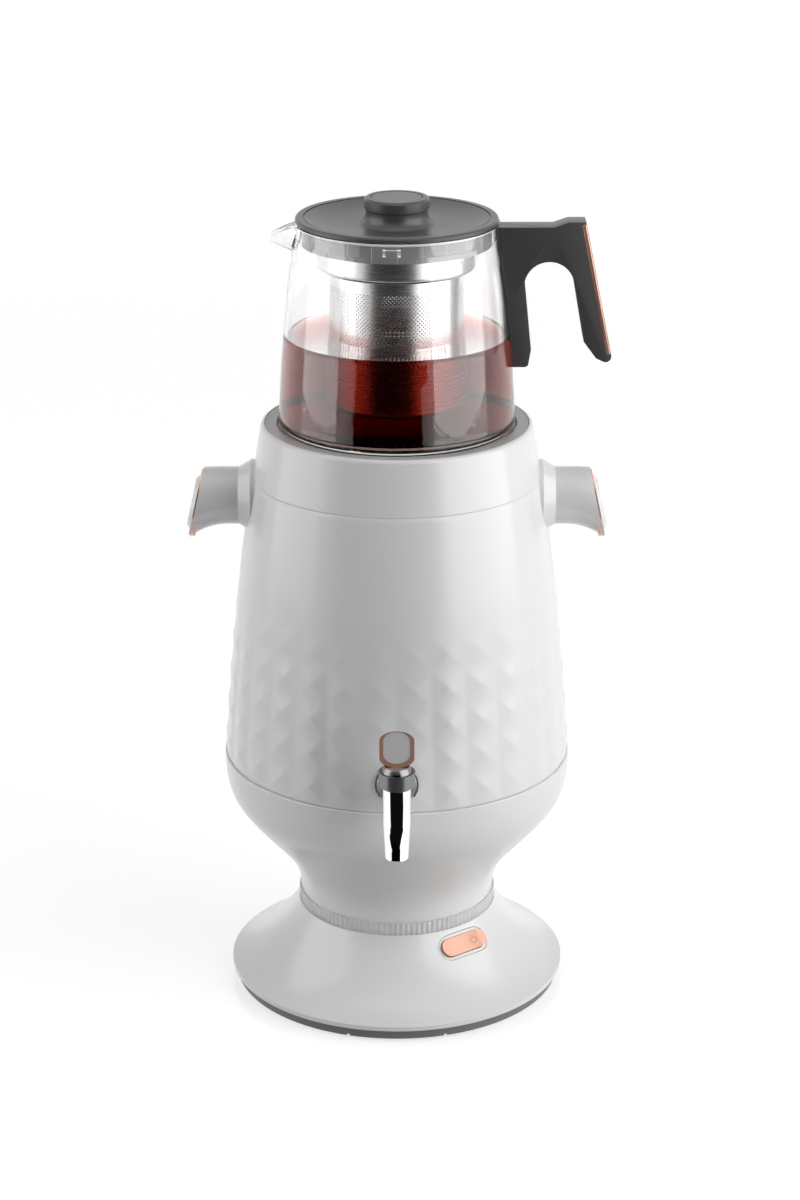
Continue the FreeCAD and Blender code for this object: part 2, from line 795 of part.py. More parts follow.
def make_tap():
    top = tap_height + body_top
    floor = tap_height + chamber_floor
    outlet = tap_height - spout_drop
    shoulder = rod(shoulder_thread, 3, V(0, -shoulder_face, tap_height), V(0, -1, 0))
    shank_start = tank_radius(tap_height) - washer_thickness - nut_height - 2
    barrel_length = tap_reach - shoulder_face
    body = rod(barrel_radius, barrel_length, V(0, -shoulder_face, tap_height), V(0, -1, 0))
    shank = rod(shank_radius, shoulder_face - shank_start, V(0, -shank_start, tap_height), V(0, -1, 0))
    column = Part.makeCylinder(body_radius, body_top - chamber_floor + 2, V(0, -tap_reach, floor - 2))
    spout = Part.makeLoft(
        [
            spout_section(floor - 2, 0, body_radius),
            spout_section((floor - 2 + outlet) / 2, spout_lean * 0.35, (body_radius + spout_radius) / 2),
            spout_section(outlet, spout_lean, spout_radius),
        ],
        True,
    )
    body = body.fuse([shoulder, shank, column, spout])
    channel = Part.makeLoft(
        [
            spout_section(floor - 2, 0, spout_bore),
            spout_section((floor - 2 + outlet) / 2, spout_lean * 0.35, spout_bore),
            spout_section(outlet - 0.01, spout_lean, spout_bore),
        ],
        True,
    )
    chamber = Part.makeCylinder(body_chamber, body_top - chamber_floor, V(0, -tap_reach, floor))
    seat = Part.makeCylinder(seat_hole, 4, V(0, -tap_reach, floor - 3))
    flow = rod(barrel_bore, tap_reach - shank_start, V(0, -shank_start, tap_height), V(0, -1, 0))
    body = body.cut(Part.makeCompound([channel, chamber])).cut(seat).cut(flow)
    keep("tap_body", body)

    wall = tank_skin(tank_wall)
    inside = tank_skin(0)
    outer_washer = rod(
        shoulder_thread, 12, V(0, -shoulder_face + 12, tap_height), V(0, -1, 0)
    ).cut(rod(shank_radius, 20, V(0, -shoulder_face + 15, tap_height), V(0, -1, 0))).cut(wall)
    nut_face = tank_radius(tap_height) - washer_thickness
    inner_washer = rod(shoulder_thread, 8, V(0, -nut_face, tap_height), V(0, -1, 0))
    inner_washer = inner_washer.common(inside).cut(
        rod(shank_radius, 20, V(0, -nut_face + 5, tap_height), V(0, -1, 0))
    )
    keep("tap_washers", Part.makeCompound([outer_washer, inner_washer]))

    corners = []
    for index in range(6):
        angle = math.radians(60 * index)
        reach = nut_across / math.sqrt(3)
        corners.append(V(reach * math.cos(angle), -nut_face, tap_height + reach * math.sin(angle)))
    nut = Part.Face(Part.makePolygon(corners + [corners[0]])).extrude(V(0, nut_height, 0))
    nut = nut.cut(rod(shank_radius, 20, V(0, -nut_face + 10, tap_height), V(0, -1, 0)))
    keep("tap_nut", nut)

    shell_face = upper_radius(tap_height)
    dome = Part.makeCone(
        escutcheon_radius, barrel_radius + 2, escutcheon_height, V(0, -shell_face + 1, tap_height), V(0, -1, 0)
    )
    skirt = rod(escutcheon_radius, 3, V(0, -shell_face + 3, tap_height), V(0, -1, 0))
    bed = Profile(0, lower_seam).line(belly_radius, lower_seam)
    bed.arc(
        upper_radius(lower_seam + 40), lower_seam + 40, upper_radius(lower_seam + 80), lower_seam + 80
    )
    bed.line(0, lower_seam + 80)
    plate = dome.fuse(skirt).cut(bed.turned())
    plate = plate.cut(rod(barrel_radius, 30, V(0, -shell_face + 15, tap_height), V(0, -1, 0)))
    keep("tap_escutcheon", plate)

    bonnet_top = pivot_height + bonnet_rise
    skirt_bottom = top + bonnet_skirt
    bonnet = Part.makeCylinder(bonnet_radius, bonnet_top - skirt_bottom, V(0, -tap_reach, skirt_bottom))
    bonnet = bonnet.fuse(Part.makeCylinder(body_radius, bonnet_skirt, V(0, -tap_reach, top)))
    bonnet = bonnet.fuse(Part.makeCylinder(body_chamber, bonnet_spigot, V(0, -tap_reach, top - bonnet_spigot)))
    swing = math.radians(lever_angle)
    swing_low = ball_below * math.cos(swing) + math.sqrt(ball_radius ** 2 - ball_below ** 2) * math.sin(swing)
    cup = Part.makeSphere(ball_radius + fit_gap, V(0, -tap_reach, pivot_height))
    cup = cup.common(block(
        V(-2 * ball_radius, -tap_reach - 2 * ball_radius, pivot_height - swing_low - fit_gap),
        V(2 * ball_radius, -tap_reach + 2 * ball_radius, bonnet_top + 1),
    ))
    well = Part.makeCylinder(
        spring_radius + spring_wire, bonnet_spigot - 2, V(0, -tap_reach, top - bonnet_spigot)
    )
    guide = Part.makeCylinder(stem_radius + running_gap, 20, V(0, -tap_reach, top - bonnet_spigot))
    pin_hole = rod(pivot_pin_radius, 2 * bonnet_radius, V(-bonnet_radius, -tap_reach, pivot_height), X)
    bonnet = bonnet.cut(cup).cut(well).cut(guide).cut(pin_hole)
    keep("tap_bonnet", bonnet)

    pin = rod(pivot_pin_radius, 2 * bonnet_radius - 0.6, V(-bonnet_radius + 0.3, -tap_reach, pivot_height), X)
    keep("tap_pivot_pin", pin)
    make_lever()
    make_stem(top, floor)


def pad_place(shape):
    """Carries a piece drawn flat, with its face up and its foot towards -Y, onto the leaning pad."""
    shape.rotate(ORIGIN, X, 90 - pad_lean)
    shape.translate(V(0, -tap_reach, pivot_height + pad_rise))
    return shape


def pad_bar(half_width, foot, top, low, high):
    """A bar with rounded ends, lying along Y between a foot and a top, drawn flat."""
    upper_middle = V(0, top - pad_end, low)
    lower_middle = V(0, foot + pad_end, low)
    upper = Part.Ellipse(V(half_width, top - pad_end, low), V(0, top, low), upper_middle)
    lower = Part.Ellipse(V(half_width, foot + pad_end, low), V(0, foot + 2 * pad_end, low), lower_middle)
    left = Part.makeLine(V(-half_width, top - pad_end, low), V(-half_width, foot + pad_end, low))
    right = Part.makeLine(V(half_width, foot + pad_end, low), V(half_width, top - pad_end, low))
    top_edge = Part.ArcOfEllipse(upper, 0, math.pi).toShape()
    foot_edge = Part.ArcOfEllipse(lower, math.pi, 2 * math.pi).toShape()
    return Part.Face(Part.Wire([top_edge, left, foot_edge, right])).extrude(V(0, 0, high - low))


def make_lever():
    ball = Part.makeSphere(ball_radius, V(0, -tap_reach, pivot_height))
    ball = ball.common(block(
        V(-2 * ball_radius, -tap_reach - 2 * ball_radius, pivot_height - ball_below),
        V(2 * ball_radius, -tap_reach + 2 * ball_radius, pivot_height + ball_above),
    ))
    half = pad_thickness / 2
    inner_half = pad_width / 2 - pad_rim
    inner_top = pad_length - fit_gap
    core = pad_bar(inner_half, pad_rim, inner_top, -half, half)
    rim = pad_bar(pad_width / 2, 0, pad_length, -half - pad_proud, half + pad_proud)
    rim = rim.cut(pad_bar(inner_half, pad_rim, inner_top, -half - 2 * pad_proud, half + 2 * pad_proud))
    rim = pad_place(rim)
    lever = ball.cut(rim).fuse(pad_place(core))
    slot = block(
        V(-fork_slot / 2, -tap_reach - 10, pivot_height - 10),
        V(fork_slot / 2, -tap_reach + 10, pivot_height + eye_wall + 3 * link_pin_radius),
    )
    lever = lever.cut(slot)
    lever = lever.cut(
        rod(pivot_pin_radius + running_gap, 30, V(-15, -tap_reach, pivot_height), X)
    )
    lever = lever.cut(rod(link_pin_radius, 30, V(-15, -tap_reach + link_offset, pivot_height), X))
    face = pad_bar(inner_half, pad_rim, inner_top, half - insert_depth, half + pad_proud / 2)
    face = pad_place(face)
    keep("tap_lever", lever.cut(face))
    keep("tap_lever_trim", rim)
    keep("tap_lever_insert", face)
    reach = ball_radius - 2
    keep("tap_link_pin", rod(link_pin_radius, 2 * reach, V(-reach, -tap_reach + link_offset, pivot_height), X))


def make_stem(top, floor):
    knee = stem_knee
    rod_bottom = floor + plug_height
    stem = Part.makeCylinder(stem_radius, knee - rod_bottom - 1, V(0, -tap_reach, rod_bottom))
    back = link_offset * (1 - math.cos(math.radians(lever_angle)))
    arm_front = -tap_reach + pivot_pin_radius + fit_gap
    arm_back = -tap_reach + link_offset + link_pin_radius + slot_gap + eye_wall
    half = tongue_thickness / 2
    foot = block(V(-half, -tap_reach - stem_radius, knee - tongue_foot), V(half, arm_back, knee))
    arm = block(V(-half, arm_front, knee - tongue_foot), V(half, arm_back, pivot_height + link_pin_radius + eye_wall))
    eye = block(
        V(-half, -tap_reach + link_offset - link_pin_radius - back - slot_gap, pivot_height - link_pin_radius - slot_gap),
        V(half, -tap_reach + link_offset + link_pin_radius + slot_gap, pivot_height + link_pin_radius + slot_gap),
    )
    stem = stem.fuse([foot, arm]).cut(eye)
    keep("tap_stem", stem)
    plug = Part.makeCylinder(plug_radius, plug_height, V(0, -tap_reach, floor))
    keep("tap_plug", plug)
    start = rod_bottom + spring_wire / 2 + 0.1
    length = top - 2 - start - spring_wire / 2 - 0.1
    helix = Part.makeHelix(length / spring_turns, length, spring_radius)
    half = spring_wire / 2
    wire = Part.makePolygon([
        V(spring_radius - half, 0, -half), V(spring_radius + half, 0, -half),
        V(spring_radius + half, 0, half), V(spring_radius - half, 0, half), V(spring_radius - half, 0, -half),
    ])
    coil = Part.Wire(helix).makePipeShell([wire], True, True)
    coil.translate(V(0, -tap_reach, start))
    keep("tap_spring", coil)


def switch_bar(grow, low, high):
    """A stadium bar along the rocker, grown all round, between two depths under the base's slope."""
    bar = stadium(rocker_length + 2 * grow, rocker_width + 2 * grow, high - low)
    bar.translate(V(0, 0, high))
    return switch_place(bar)


def make_switch():
    rocker = stadium(rocker_length, rocker_width, rocker_depth + rocker_proud)
    rocker.translate(V(0, 0, rocker_proud))
    saddle_radius = rocker_length * 1.8
    saddle_height = rocker_proud - rocker_hollow + saddle_radius
    saddle = rod(saddle_radius, rocker_width * 2, V(0, rocker_width, saddle_height), V(0, -1, 0))
    rocker = rocker.cut(saddle)
    for side in (-1, 1):
        relief = block(V(0, -rocker_width, -2 * rocker_depth), V(rocker_length, rocker_width, -rocker_depth))
        relief.rotate(V(0, 0, -rocker_depth), Y, -2 * rocker_tilt)
        if side < 0:
            relief.rotate(ORIGIN, Z, 180)
        rocker = rocker.cut(relief)
    pin_height = -rocker_depth + 3 * rocker_pin_radius
    pin_reach = rocker_width / 2 + fit_gap + switch_wall * 0.7
    pin = rod(rocker_pin_radius, 2 * pin_reach, V(0, -pin_reach, pin_height), Y)
    rocker = rocker.fuse(pin)
    rocker.rotate(V(0, 0, pin_height), Y, -rocker_tilt / 2)
    keep("switch_rocker", switch_place(rocker))
    case = switch_bar(fit_gap + switch_wall, -switch_body_depth, rocker_depth)
    slope = Profile(0, rim_bottom).line(base_radius - fit_gap, rim_bottom)
    slope.line(base_radius - fit_gap, rim_bottom + base_rim - fit_gap)
    base_flare(slope, fit_gap, True)
    slope.line(0, flare_top - fit_gap * 0.4)
    case = case.common(slope.turned())
    case = case.cut(switch_bar(fit_gap, -rocker_depth - 2, rocker_depth))
    reach = rocker_width / 2 + fit_gap + switch_wall * 0.8
    bore = rod(rocker_pin_radius + running_gap, 2 * reach, V(0, -reach, pin_height), Y)
    keep("switch_housing", case.cut(switch_place(bore)))


def make_teapot():
    inset = glass_wall
    outer = Profile(0, glass_bottom).line(glass_base_radius - glass_corner, glass_bottom)
    outer.arc(
        glass_base_radius - glass_corner * 0.29, glass_bottom + glass_corner * 0.29,
        glass_base_radius, glass_bottom + glass_corner,
    )
    glass_curve(outer, 0, True)
    outer.line(glass_mouth_radius, glass_top).line(0, glass_top)
    solid = outer.turned()
    inner = Profile(0, glass_bottom + glass_floor)
    corner_top = glass_bottom + max(glass_corner, glass_floor) + inset
    inner.line(glass_base_radius - inset - glass_corner, glass_bottom + glass_floor)
    inner.line(glass_base_radius - inset, corner_top)
    glass_curve(inner, inset, True)
    inner.line(glass_mouth_radius - inset, glass_top + 1).line(0, glass_top + 1)
    cavity = inner.turned()
    tip = glass_top - beak_tip_drop
    low = glass_top - beak_depth / 2
    beak = beak_loft(beak_half_width, beak_depth / 2, beak_tip_half, 0, low, tip)
    trough = beak_loft(beak_half_width - inset, beak_depth / 2 - inset, beak_tip_half - inset * 0.8, 2, low, tip)
    slope = [
        V(-glass_mouth_radius + inset, 0, glass_top + 0.01),
        V(-beak_reach - 2, 0, tip + 0.5),
        V(-beak_reach - 2, 0, glass_top + 30),
        V(-glass_mouth_radius + inset, 0, glass_top + 30),
    ]
    lid_side = slab(slope, 4 * beak_half_width, Y)
    above = block(V(-100, -100, glass_top), V(100, 100, glass_top + 30))
    glass = solid.fuse(beak).cut(cavity).cut(trough).cut(lid_side).cut(above)
    keep("teapot_glass", glass)
    make_grip(solid)


def beak_loft(half_width, half_depth, tip_half, beyond, height, tip):
    root = -glass_mouth_radius + 8
    wide = Part.Ellipse(V(root, half_width, height), V(root, 0, height + half_depth), V(root, 0, height))
    end = V(-beak_reach - beyond, 0, tip + tip_half * 0.4)
    small = Part.Circle(end, X, tip_half)
    return Part.makeLoft([Part.Wire(wide.toShape()), Part.Wire(small.toShape())], True, True)


def make_grip(glass):
    top = glass_top - grip_top
    high = top + grip_raise
    foot = glass_bottom + grip_foot_height
    root_foot = glass_bottom + root_foot_height
    crown = top - arch_top
    knee = glass_bottom + grip_foot_height + 8
    arch_mid = (arch_left + arch_right) / 2
    shape = Profile(glass_mouth_radius - 8, top)
    shape.line(grip_shoulder, top)
    shape.line(grip_raise_start, high)
    shape.line(grip_corner, high)
    shape.line(grip_foot, foot)
    shape.arc(grip_foot - 1.2, foot - 3.0, grip_foot - 4, foot - 3.6)
    shape.line(grip_foot - grip_width_foot, foot - 1.5)
    shape.line(grip_foot - grip_width_foot - 7, knee)
    shape.line(arch_right, crown - arch_height / 3)
    shape.arc(arch_mid, crown, arch_left, crown - arch_height / 3)
    shape.line(arch_left + 4, root_foot + 10)
    shape.line(arch_left + 2.5, root_foot + 1)
    shape.line(arch_left + 1, root_foot)
    shape.line(glass_mouth_radius - 8, root_foot)
    shape.line(glass_mouth_radius - 8, top)
    face = Part.Face(Part.Wire(shape.edges))
    face.translate(V(0, -grip_thickness / 2, 0))
    grip = face.extrude(V(0, grip_thickness, 0))
    run = V(grip_foot - grip_corner, 0, foot - high)
    run.normalize()
    out = V(-run.z, 0, run.x)
    start = V(grip_corner, 0, high) + run * strip_margin
    end = V(grip_foot, 0, foot) - run * strip_margin
    depth = strip_thickness
    corners = [start - out * depth, start + out * 0.4, end + out * 0.4, end - out * depth]
    strip = slab(corners, strip_width, Y)
    grip = grip.cut(strip).cut(glass)
    keep("teapot_handle", grip)
    keep("teapot_handle_trim", strip)


def make_lid():
    rim_inner = lid_radius - lid_rim_width
    dish_radius = skirt_radius - skirt_wall - fit_gap
    plate = Profile(0, plate_top - lid_plate)
    plate.line(dish_radius, plate_top - lid_plate)
    plate.line(dish_radius, lid_bottom)
    plate.line(lid_radius, lid_bottom)
    plate.line(lid_radius, lid_top - 0.8).line(lid_radius - 0.8, lid_top)
    plate.line(rim_inner + groove_width, lid_top)
    plate.line(rim_inner + groove_width, lid_top - groove_depth)
    plate.line(rim_inner, lid_top - groove_depth)
    plate.line(rim_inner, lid_top - 0.3)
    plate.arc(rim_inner - 12, plate_top + 0.9, knob_foot_radius, plate_top)
    plate.line(0, plate_top)
    body = plate.turned().cut(disc(knob_screw_radius, plate_top - 10, plate_top + 1))
    keep("lid_plate", body)

    knob_top = plate_top + knob_height + 4
    waist = plate_top + knob_waist_rise
    knob = Profile(0, plate_top).line(knob_foot_radius, plate_top)
    knob.curve([(knob_waist_radius + 0.6, plate_top + 3.5), (knob_waist_radius, waist)])
    knob.line(knob_radius, waist + 0.8).line(knob_radius, knob_top - knob_edge)
    knob.line(knob_radius - knob_edge, knob_top)
    knob.line(knob_cap_radius + slot_gap, knob_top)
    knob.line(knob_cap_radius + slot_gap, knob_top - knob_cap_depth)
    knob.line(0, knob_top - knob_cap_depth)
    body = knob.turned()
    body = body.cut(disc(knob_screw_radius, plate_top - 1, plate_top + 9))
    keep("lid_knob", body)
    cap = Profile(0, knob_top - knob_cap_depth).line(knob_cap_radius, knob_top - knob_cap_depth)
    cap.line(knob_cap_radius, knob_top - 0.5).line(knob_cap_radius - 0.4, knob_top - 0.1).line(0, knob_top - 0.1)
    keep("knob_cap", cap.turned())
    screw_bottom = plate_top - lid_plate
    screw = disc(knob_screw_head, screw_bottom - 2, screw_bottom)
    screw = screw.fuse(disc(knob_screw_radius, screw_bottom, screw_bottom + lid_plate + 8))
    keep("knob_screw", screw)

    seal_outer = glass_mouth_radius - glass_wall - fit_gap
    seal = Profile(skirt_radius, lid_bottom - lid_seal_height - 1).line(seal_outer, lid_bottom - lid_seal_height)
    seal.line(seal_outer, lid_bottom).line(skirt_radius, lid_bottom)
    keep("lid_seal", seal.turned())
    skirt_inner = skirt_radius - skirt_wall
    skirt_bottom = lid_bottom - skirt_height
    skirt = ring(skirt_inner, skirt_radius, skirt_bottom, lid_bottom)
    ledge = ring(cup_flange + fit_gap, skirt_inner, skirt_bottom, skirt_bottom + 2)
    skirt = skirt.fuse(ledge).removeSplitter()
    tick = block(V(skirt_radius - 0.4, -0.4, skirt_bottom), V(skirt_radius + 1, 0.4, skirt_bottom + 3))
    skirt = skirt.cut(Part.makeCompound(around(tick, skirt_tick_count)))
    lug_bottom = skirt_bottom + 2
    lug = ring(cup_flange - 1.6, skirt_inner, lug_bottom - 2, lug_bottom)
    wedge_half = bayonet_width / 2
    gate = block(V(0, -wedge_half, lug_bottom - 3), V(2 * skirt_radius, wedge_half, lug_bottom + 1))
    lugs = Part.makeCompound(around(gate, bayonet_count, 90)).common(lug)
    keep("lid_skirt", skirt.fuse(lugs))
    make_infuser(skirt_bottom, lug_bottom)


def make_infuser(skirt_bottom, lug_bottom):
    wall = steel_wall
    cup_top = lug_bottom + fit_gap + bayonet_height
    cup_bottom = skirt_bottom - cup_height
    cup = Profile(cup_radius - wall, cup_top)
    cup.line(cup_radius, cup_top)
    cup.line(cup_radius, cup_bottom + 3)
    cup.arc(cup_radius - 0.9, cup_bottom + 0.9, cup_radius - 3, cup_bottom)
    cup.line(basket_radius - wall, cup_bottom).line(basket_radius - wall, cup_bottom + wall)
    cup.line(cup_radius - 3, cup_bottom + wall)
    cup.arc(cup_radius - 0.9 - wall, cup_bottom + 0.9 + wall, cup_radius - wall, cup_bottom + 3)
    body = cup.turned()
    tabs = ring(cup_radius - wall, cup_flange, lug_bottom + fit_gap, cup_top)
    wedge_half = bayonet_width / 2
    gate = block(V(0, -wedge_half, lug_bottom), V(2 * skirt_radius, wedge_half, cup_top + 1))
    tabs = Part.makeCompound(around(gate, bayonet_count, 90)).common(tabs)
    keep("infuser_collar", body.fuse(tabs))
    basket = Profile(0, basket_bottom)
    basket.line(basket_radius - 3, basket_bottom)
    basket.arc(basket_radius - 0.9, basket_bottom + 0.9, basket_radius, basket_bottom + 3)
    basket.line(basket_radius, cup_bottom).line(basket_radius - wall, cup_bottom)
    basket.line(basket_radius - wall, basket_bottom + 3)
    basket.arc(
        basket_radius - 0.9 - wall, basket_bottom + 0.9 + wall, basket_radius - 3 - wall, basket_bottom + wall
    )
    basket.line(0, basket_bottom + wall)
    keep("infuser_basket", basket.turned())


make_base()
make_light()
make_lower_shell()
make_upper_shell()
make_collar()
make_tank()
make_side_handles()
make_tap()
make_switch()
make_teapot()
make_lid()
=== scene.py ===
import math

import bmesh
import bpy
from mathutils import Matrix, Vector


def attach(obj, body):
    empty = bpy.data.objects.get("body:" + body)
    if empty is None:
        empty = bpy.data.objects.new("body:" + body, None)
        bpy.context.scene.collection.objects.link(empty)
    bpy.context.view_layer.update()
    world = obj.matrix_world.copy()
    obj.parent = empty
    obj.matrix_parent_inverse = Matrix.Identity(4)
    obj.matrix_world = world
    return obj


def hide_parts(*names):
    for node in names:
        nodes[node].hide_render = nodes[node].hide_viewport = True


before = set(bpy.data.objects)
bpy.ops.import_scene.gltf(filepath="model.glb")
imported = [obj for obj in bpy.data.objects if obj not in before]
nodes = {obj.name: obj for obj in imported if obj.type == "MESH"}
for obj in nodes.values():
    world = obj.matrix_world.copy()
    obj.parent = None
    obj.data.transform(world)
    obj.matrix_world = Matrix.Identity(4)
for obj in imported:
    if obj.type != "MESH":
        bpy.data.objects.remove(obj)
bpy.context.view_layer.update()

millimetre = 0.001


# shared shader groups


def newGroup(name, inputs, outputs):
    tree = bpy.data.node_groups.new(name, "ShaderNodeTree")
    for label, kind, value in inputs:
        socket = tree.interface.new_socket(name=label, in_out="INPUT", socket_type=kind)
        socket.default_value = value
    for label, kind in outputs:
        tree.interface.new_socket(name=label, in_out="OUTPUT", socket_type=kind)
    return tree, tree.nodes.new("NodeGroupInput"), tree.nodes.new("NodeGroupOutput")


def addNode(tree, kind, **settings):
    node = tree.nodes.new(kind)
    for key, value in settings.items():
        setattr(node, key, value)
    return node


def mathNode(tree, operation, first, second=None, third=None, clamp=False):
    node = addNode(tree, "ShaderNodeMath", operation=operation, use_clamp=clamp)
    for index, value in enumerate((first, second, third)):
        if value is None:
            continue
        if isinstance(value, (int, float)):
            node.inputs[index].default_value = value
        else:
            tree.links.new(value, node.inputs[index])
    return node.outputs[0]


# Fine moulding grain: a little uneven gloss and a very shallow bump
def makeGrainGroup():
    tree, start, end = newGroup(
        "mouldGrain",
        [("Scale", "NodeSocketFloat", 900.0), ("Depth", "NodeSocketFloat", 0.05),
         ("Roughness", "NodeSocketFloat", 0.3), ("Spread", "NodeSocketFloat", 0.05)],
        [("Roughness", "NodeSocketFloat"), ("Normal", "NodeSocketVector")],
    )
    place = addNode(tree, "ShaderNodeTexCoord")
    fine = addNode(tree, "ShaderNodeTexNoise")
    fine.inputs["Detail"].default_value = 3.0
    broad = addNode(tree, "ShaderNodeTexNoise")
    broad.inputs["Scale"].default_value = 14.0
    broad.inputs["Detail"].default_value = 4.0
    bump = addNode(tree, "ShaderNodeBump")
    bump.inputs["Distance"].default_value = 0.0002
    tree.links.new(place.outputs["Object"], fine.inputs["Vector"])
    tree.links.new(place.outputs["Object"], broad.inputs["Vector"])
    tree.links.new(start.outputs["Scale"], fine.inputs["Scale"])
    tree.links.new(fine.outputs["Fac"], bump.inputs["Height"])
    tree.links.new(start.outputs["Depth"], bump.inputs["Strength"])
    swing = mathNode(tree, "SUBTRACT", broad.outputs["Fac"], 0.5)
    swing = mathNode(tree, "MULTIPLY", swing, start.outputs["Spread"])
    total = mathNode(tree, "ADD", swing, start.outputs["Roughness"], clamp=True)
    tree.links.new(total, end.inputs["Roughness"])
    tree.links.new(bump.outputs["Normal"], end.inputs["Normal"])
    return tree


# Brush lines that run round the axis, as on turned steel
def makeBrushGroup():
    tree, start, end = newGroup(
        "turnedBrush",
        [("Lines", "NodeSocketFloat", 2600.0), ("Depth", "NodeSocketFloat", 0.1),
         ("Roughness", "NodeSocketFloat", 0.25)],
        [("Roughness", "NodeSocketFloat"), ("Normal", "NodeSocketVector")],
    )
    place = addNode(tree, "ShaderNodeTexCoord")
    split = addNode(tree, "ShaderNodeSeparateXYZ")
    tree.links.new(place.outputs["Object"], split.inputs[0])
    squared = mathNode(tree, "MULTIPLY", split.outputs["X"], split.outputs["X"])
    squared = mathNode(tree, "MULTIPLY_ADD", split.outputs["Y"], split.outputs["Y"], squared)
    radius = mathNode(tree, "SQRT", squared)
    joined = addNode(tree, "ShaderNodeCombineXYZ")
    tree.links.new(mathNode(tree, "MULTIPLY", radius, start.outputs["Lines"]), joined.inputs["X"])
    tree.links.new(mathNode(tree, "MULTIPLY", split.outputs["Z"], start.outputs["Lines"]), joined.inputs["Z"])
    lines = addNode(tree, "ShaderNodeTexNoise")
    lines.inputs["Scale"].default_value = 1.0
    lines.inputs["Detail"].default_value = 2.0
    tree.links.new(joined.outputs[0], lines.inputs["Vector"])
    bump = addNode(tree, "ShaderNodeBump")
    bump.inputs["Distance"].default_value = 0.0001
    tree.links.new(lines.outputs["Fac"], bump.inputs["Height"])
    tree.links.new(start.outputs["Depth"], bump.inputs["Strength"])
    total = mathNode(tree, "MULTIPLY_ADD", lines.outputs["Fac"], 0.12, start.outputs["Roughness"], clamp=True)
    tree.links.new(total, end.inputs["Roughness"])
    tree.links.new(bump.outputs["Normal"], end.inputs["Normal"])
    return tree


# A mask that is 0 in the basket's holes: slanting rows round the wall, with plain strips between fields
def makeHoleGroup():
    strips = {"count": 4, "start": 0.48, "width": 0.07}
    tree, start, end = newGroup(
        "basketHoles",
        [("Radius", "NodeSocketFloat", 0.0373), ("Pitch", "NodeSocketFloat", 0.0023),
         ("Hole", "NodeSocketFloat", 0.3), ("Low", "NodeSocketFloat", 0.356),
         ("High", "NodeSocketFloat", 0.4217)],
        [("Solid", "NodeSocketFloat")],
    )
    place = addNode(tree, "ShaderNodeTexCoord")
    split = addNode(tree, "ShaderNodeSeparateXYZ")
    tree.links.new(place.outputs["Object"], split.inputs[0])
    angle = mathNode(tree, "ARCTAN2", split.outputs["Y"], split.outputs["X"])
    arc = mathNode(tree, "MULTIPLY", angle, start.outputs["Radius"])
    height = split.outputs["Z"]
    rows = []
    for sign in (1.0, -1.0):
        slant = mathNode(tree, "MULTIPLY_ADD", height, sign, arc)
        cell = mathNode(tree, "DIVIDE", slant, start.outputs["Pitch"])
        offset = mathNode(tree, "SUBTRACT", mathNode(tree, "FRACT", cell), 0.5)
        rows.append(mathNode(tree, "MULTIPLY", offset, offset))
    far = mathNode(tree, "SQRT", mathNode(tree, "ADD", rows[0], rows[1]))
    solid = mathNode(tree, "GREATER_THAN", far, start.outputs["Hole"])
    below = mathNode(tree, "LESS_THAN", height, start.outputs["Low"])
    above = mathNode(tree, "GREATER_THAN", height, start.outputs["High"])
    turn = mathNode(tree, "MULTIPLY_ADD", angle, strips["count"] / (2 * math.pi), strips["start"])
    strip = mathNode(tree, "LESS_THAN", mathNode(tree, "FRACT", turn), strips["width"])
    for extra in (below, above, strip):
        solid = mathNode(tree, "MAXIMUM", solid, extra)
    tree.links.new(solid, end.inputs["Solid"])
    return tree


# A mask of faint upright lines round a moulded see-through skirt
def makeTickGroup():
    tree, start, end = newGroup(
        "skirtTicks",
        [("Count", "NodeSocketFloat", 24.0), ("Width", "NodeSocketFloat", 0.03)],
        [("Line", "NodeSocketFloat")],
    )
    place = addNode(tree, "ShaderNodeTexCoord")
    split = addNode(tree, "ShaderNodeSeparateXYZ")
    tree.links.new(place.outputs["Object"], split.inputs[0])
    angle = mathNode(tree, "ARCTAN2", split.outputs["Y"], split.outputs["X"])
    share = mathNode(tree, "MULTIPLY", angle, 1 / (2 * math.pi))
    cell = mathNode(tree, "FRACT", mathNode(tree, "MULTIPLY", share, start.outputs["Count"]))
    line = mathNode(tree, "LESS_THAN", cell, start.outputs["Width"])
    tree.links.new(line, end.inputs["Line"])
    return tree


grainGroup = makeGrainGroup()
brushGroup = makeBrushGroup()
holeGroup = makeHoleGroup()
tickGroup = makeTickGroup()
print("groups ready")


# materials


def newMaterial(name, values):
    material = bpy.data.materials.new(name)
    material.use_nodes = True
    tree = material.node_tree
    shader = tree.nodes["Principled BSDF"]
    for label, value in values.items():
        shader.inputs[label].default_value = value
    return material, tree, shader


def useGroup(tree, group, values):
    node = addNode(tree, "ShaderNodeGroup", node_tree=group)
    for label, value in values.items():
        node.inputs[label].default_value = value
    return node


# A moulded or polished surface. More holds any other inputs of the shader
def grainy(name, color, roughness, depth=0.05, spread=0.05, **more):
    material, tree, shader = newMaterial(name, {"Base Color": (*color, 1.0), "Roughness": roughness, **more})
    grain = useGroup(tree, grainGroup, {"Depth": depth, "Roughness": roughness, "Spread": spread})
    tree.links.new(grain.outputs["Roughness"], shader.inputs["Roughness"])
    tree.links.new(grain.outputs["Normal"], shader.inputs["Normal"])
    return material


def brushed(name, color, roughness, depth):
    material, tree, shader = newMaterial(name, {"Base Color": (*color, 1.0), "Metallic": 1.0})
    brush = useGroup(tree, brushGroup, {"Depth": depth, "Roughness": roughness})
    tree.links.new(brush.outputs["Roughness"], shader.inputs["Roughness"])
    tree.links.new(brush.outputs["Normal"], shader.inputs["Normal"])
    return material


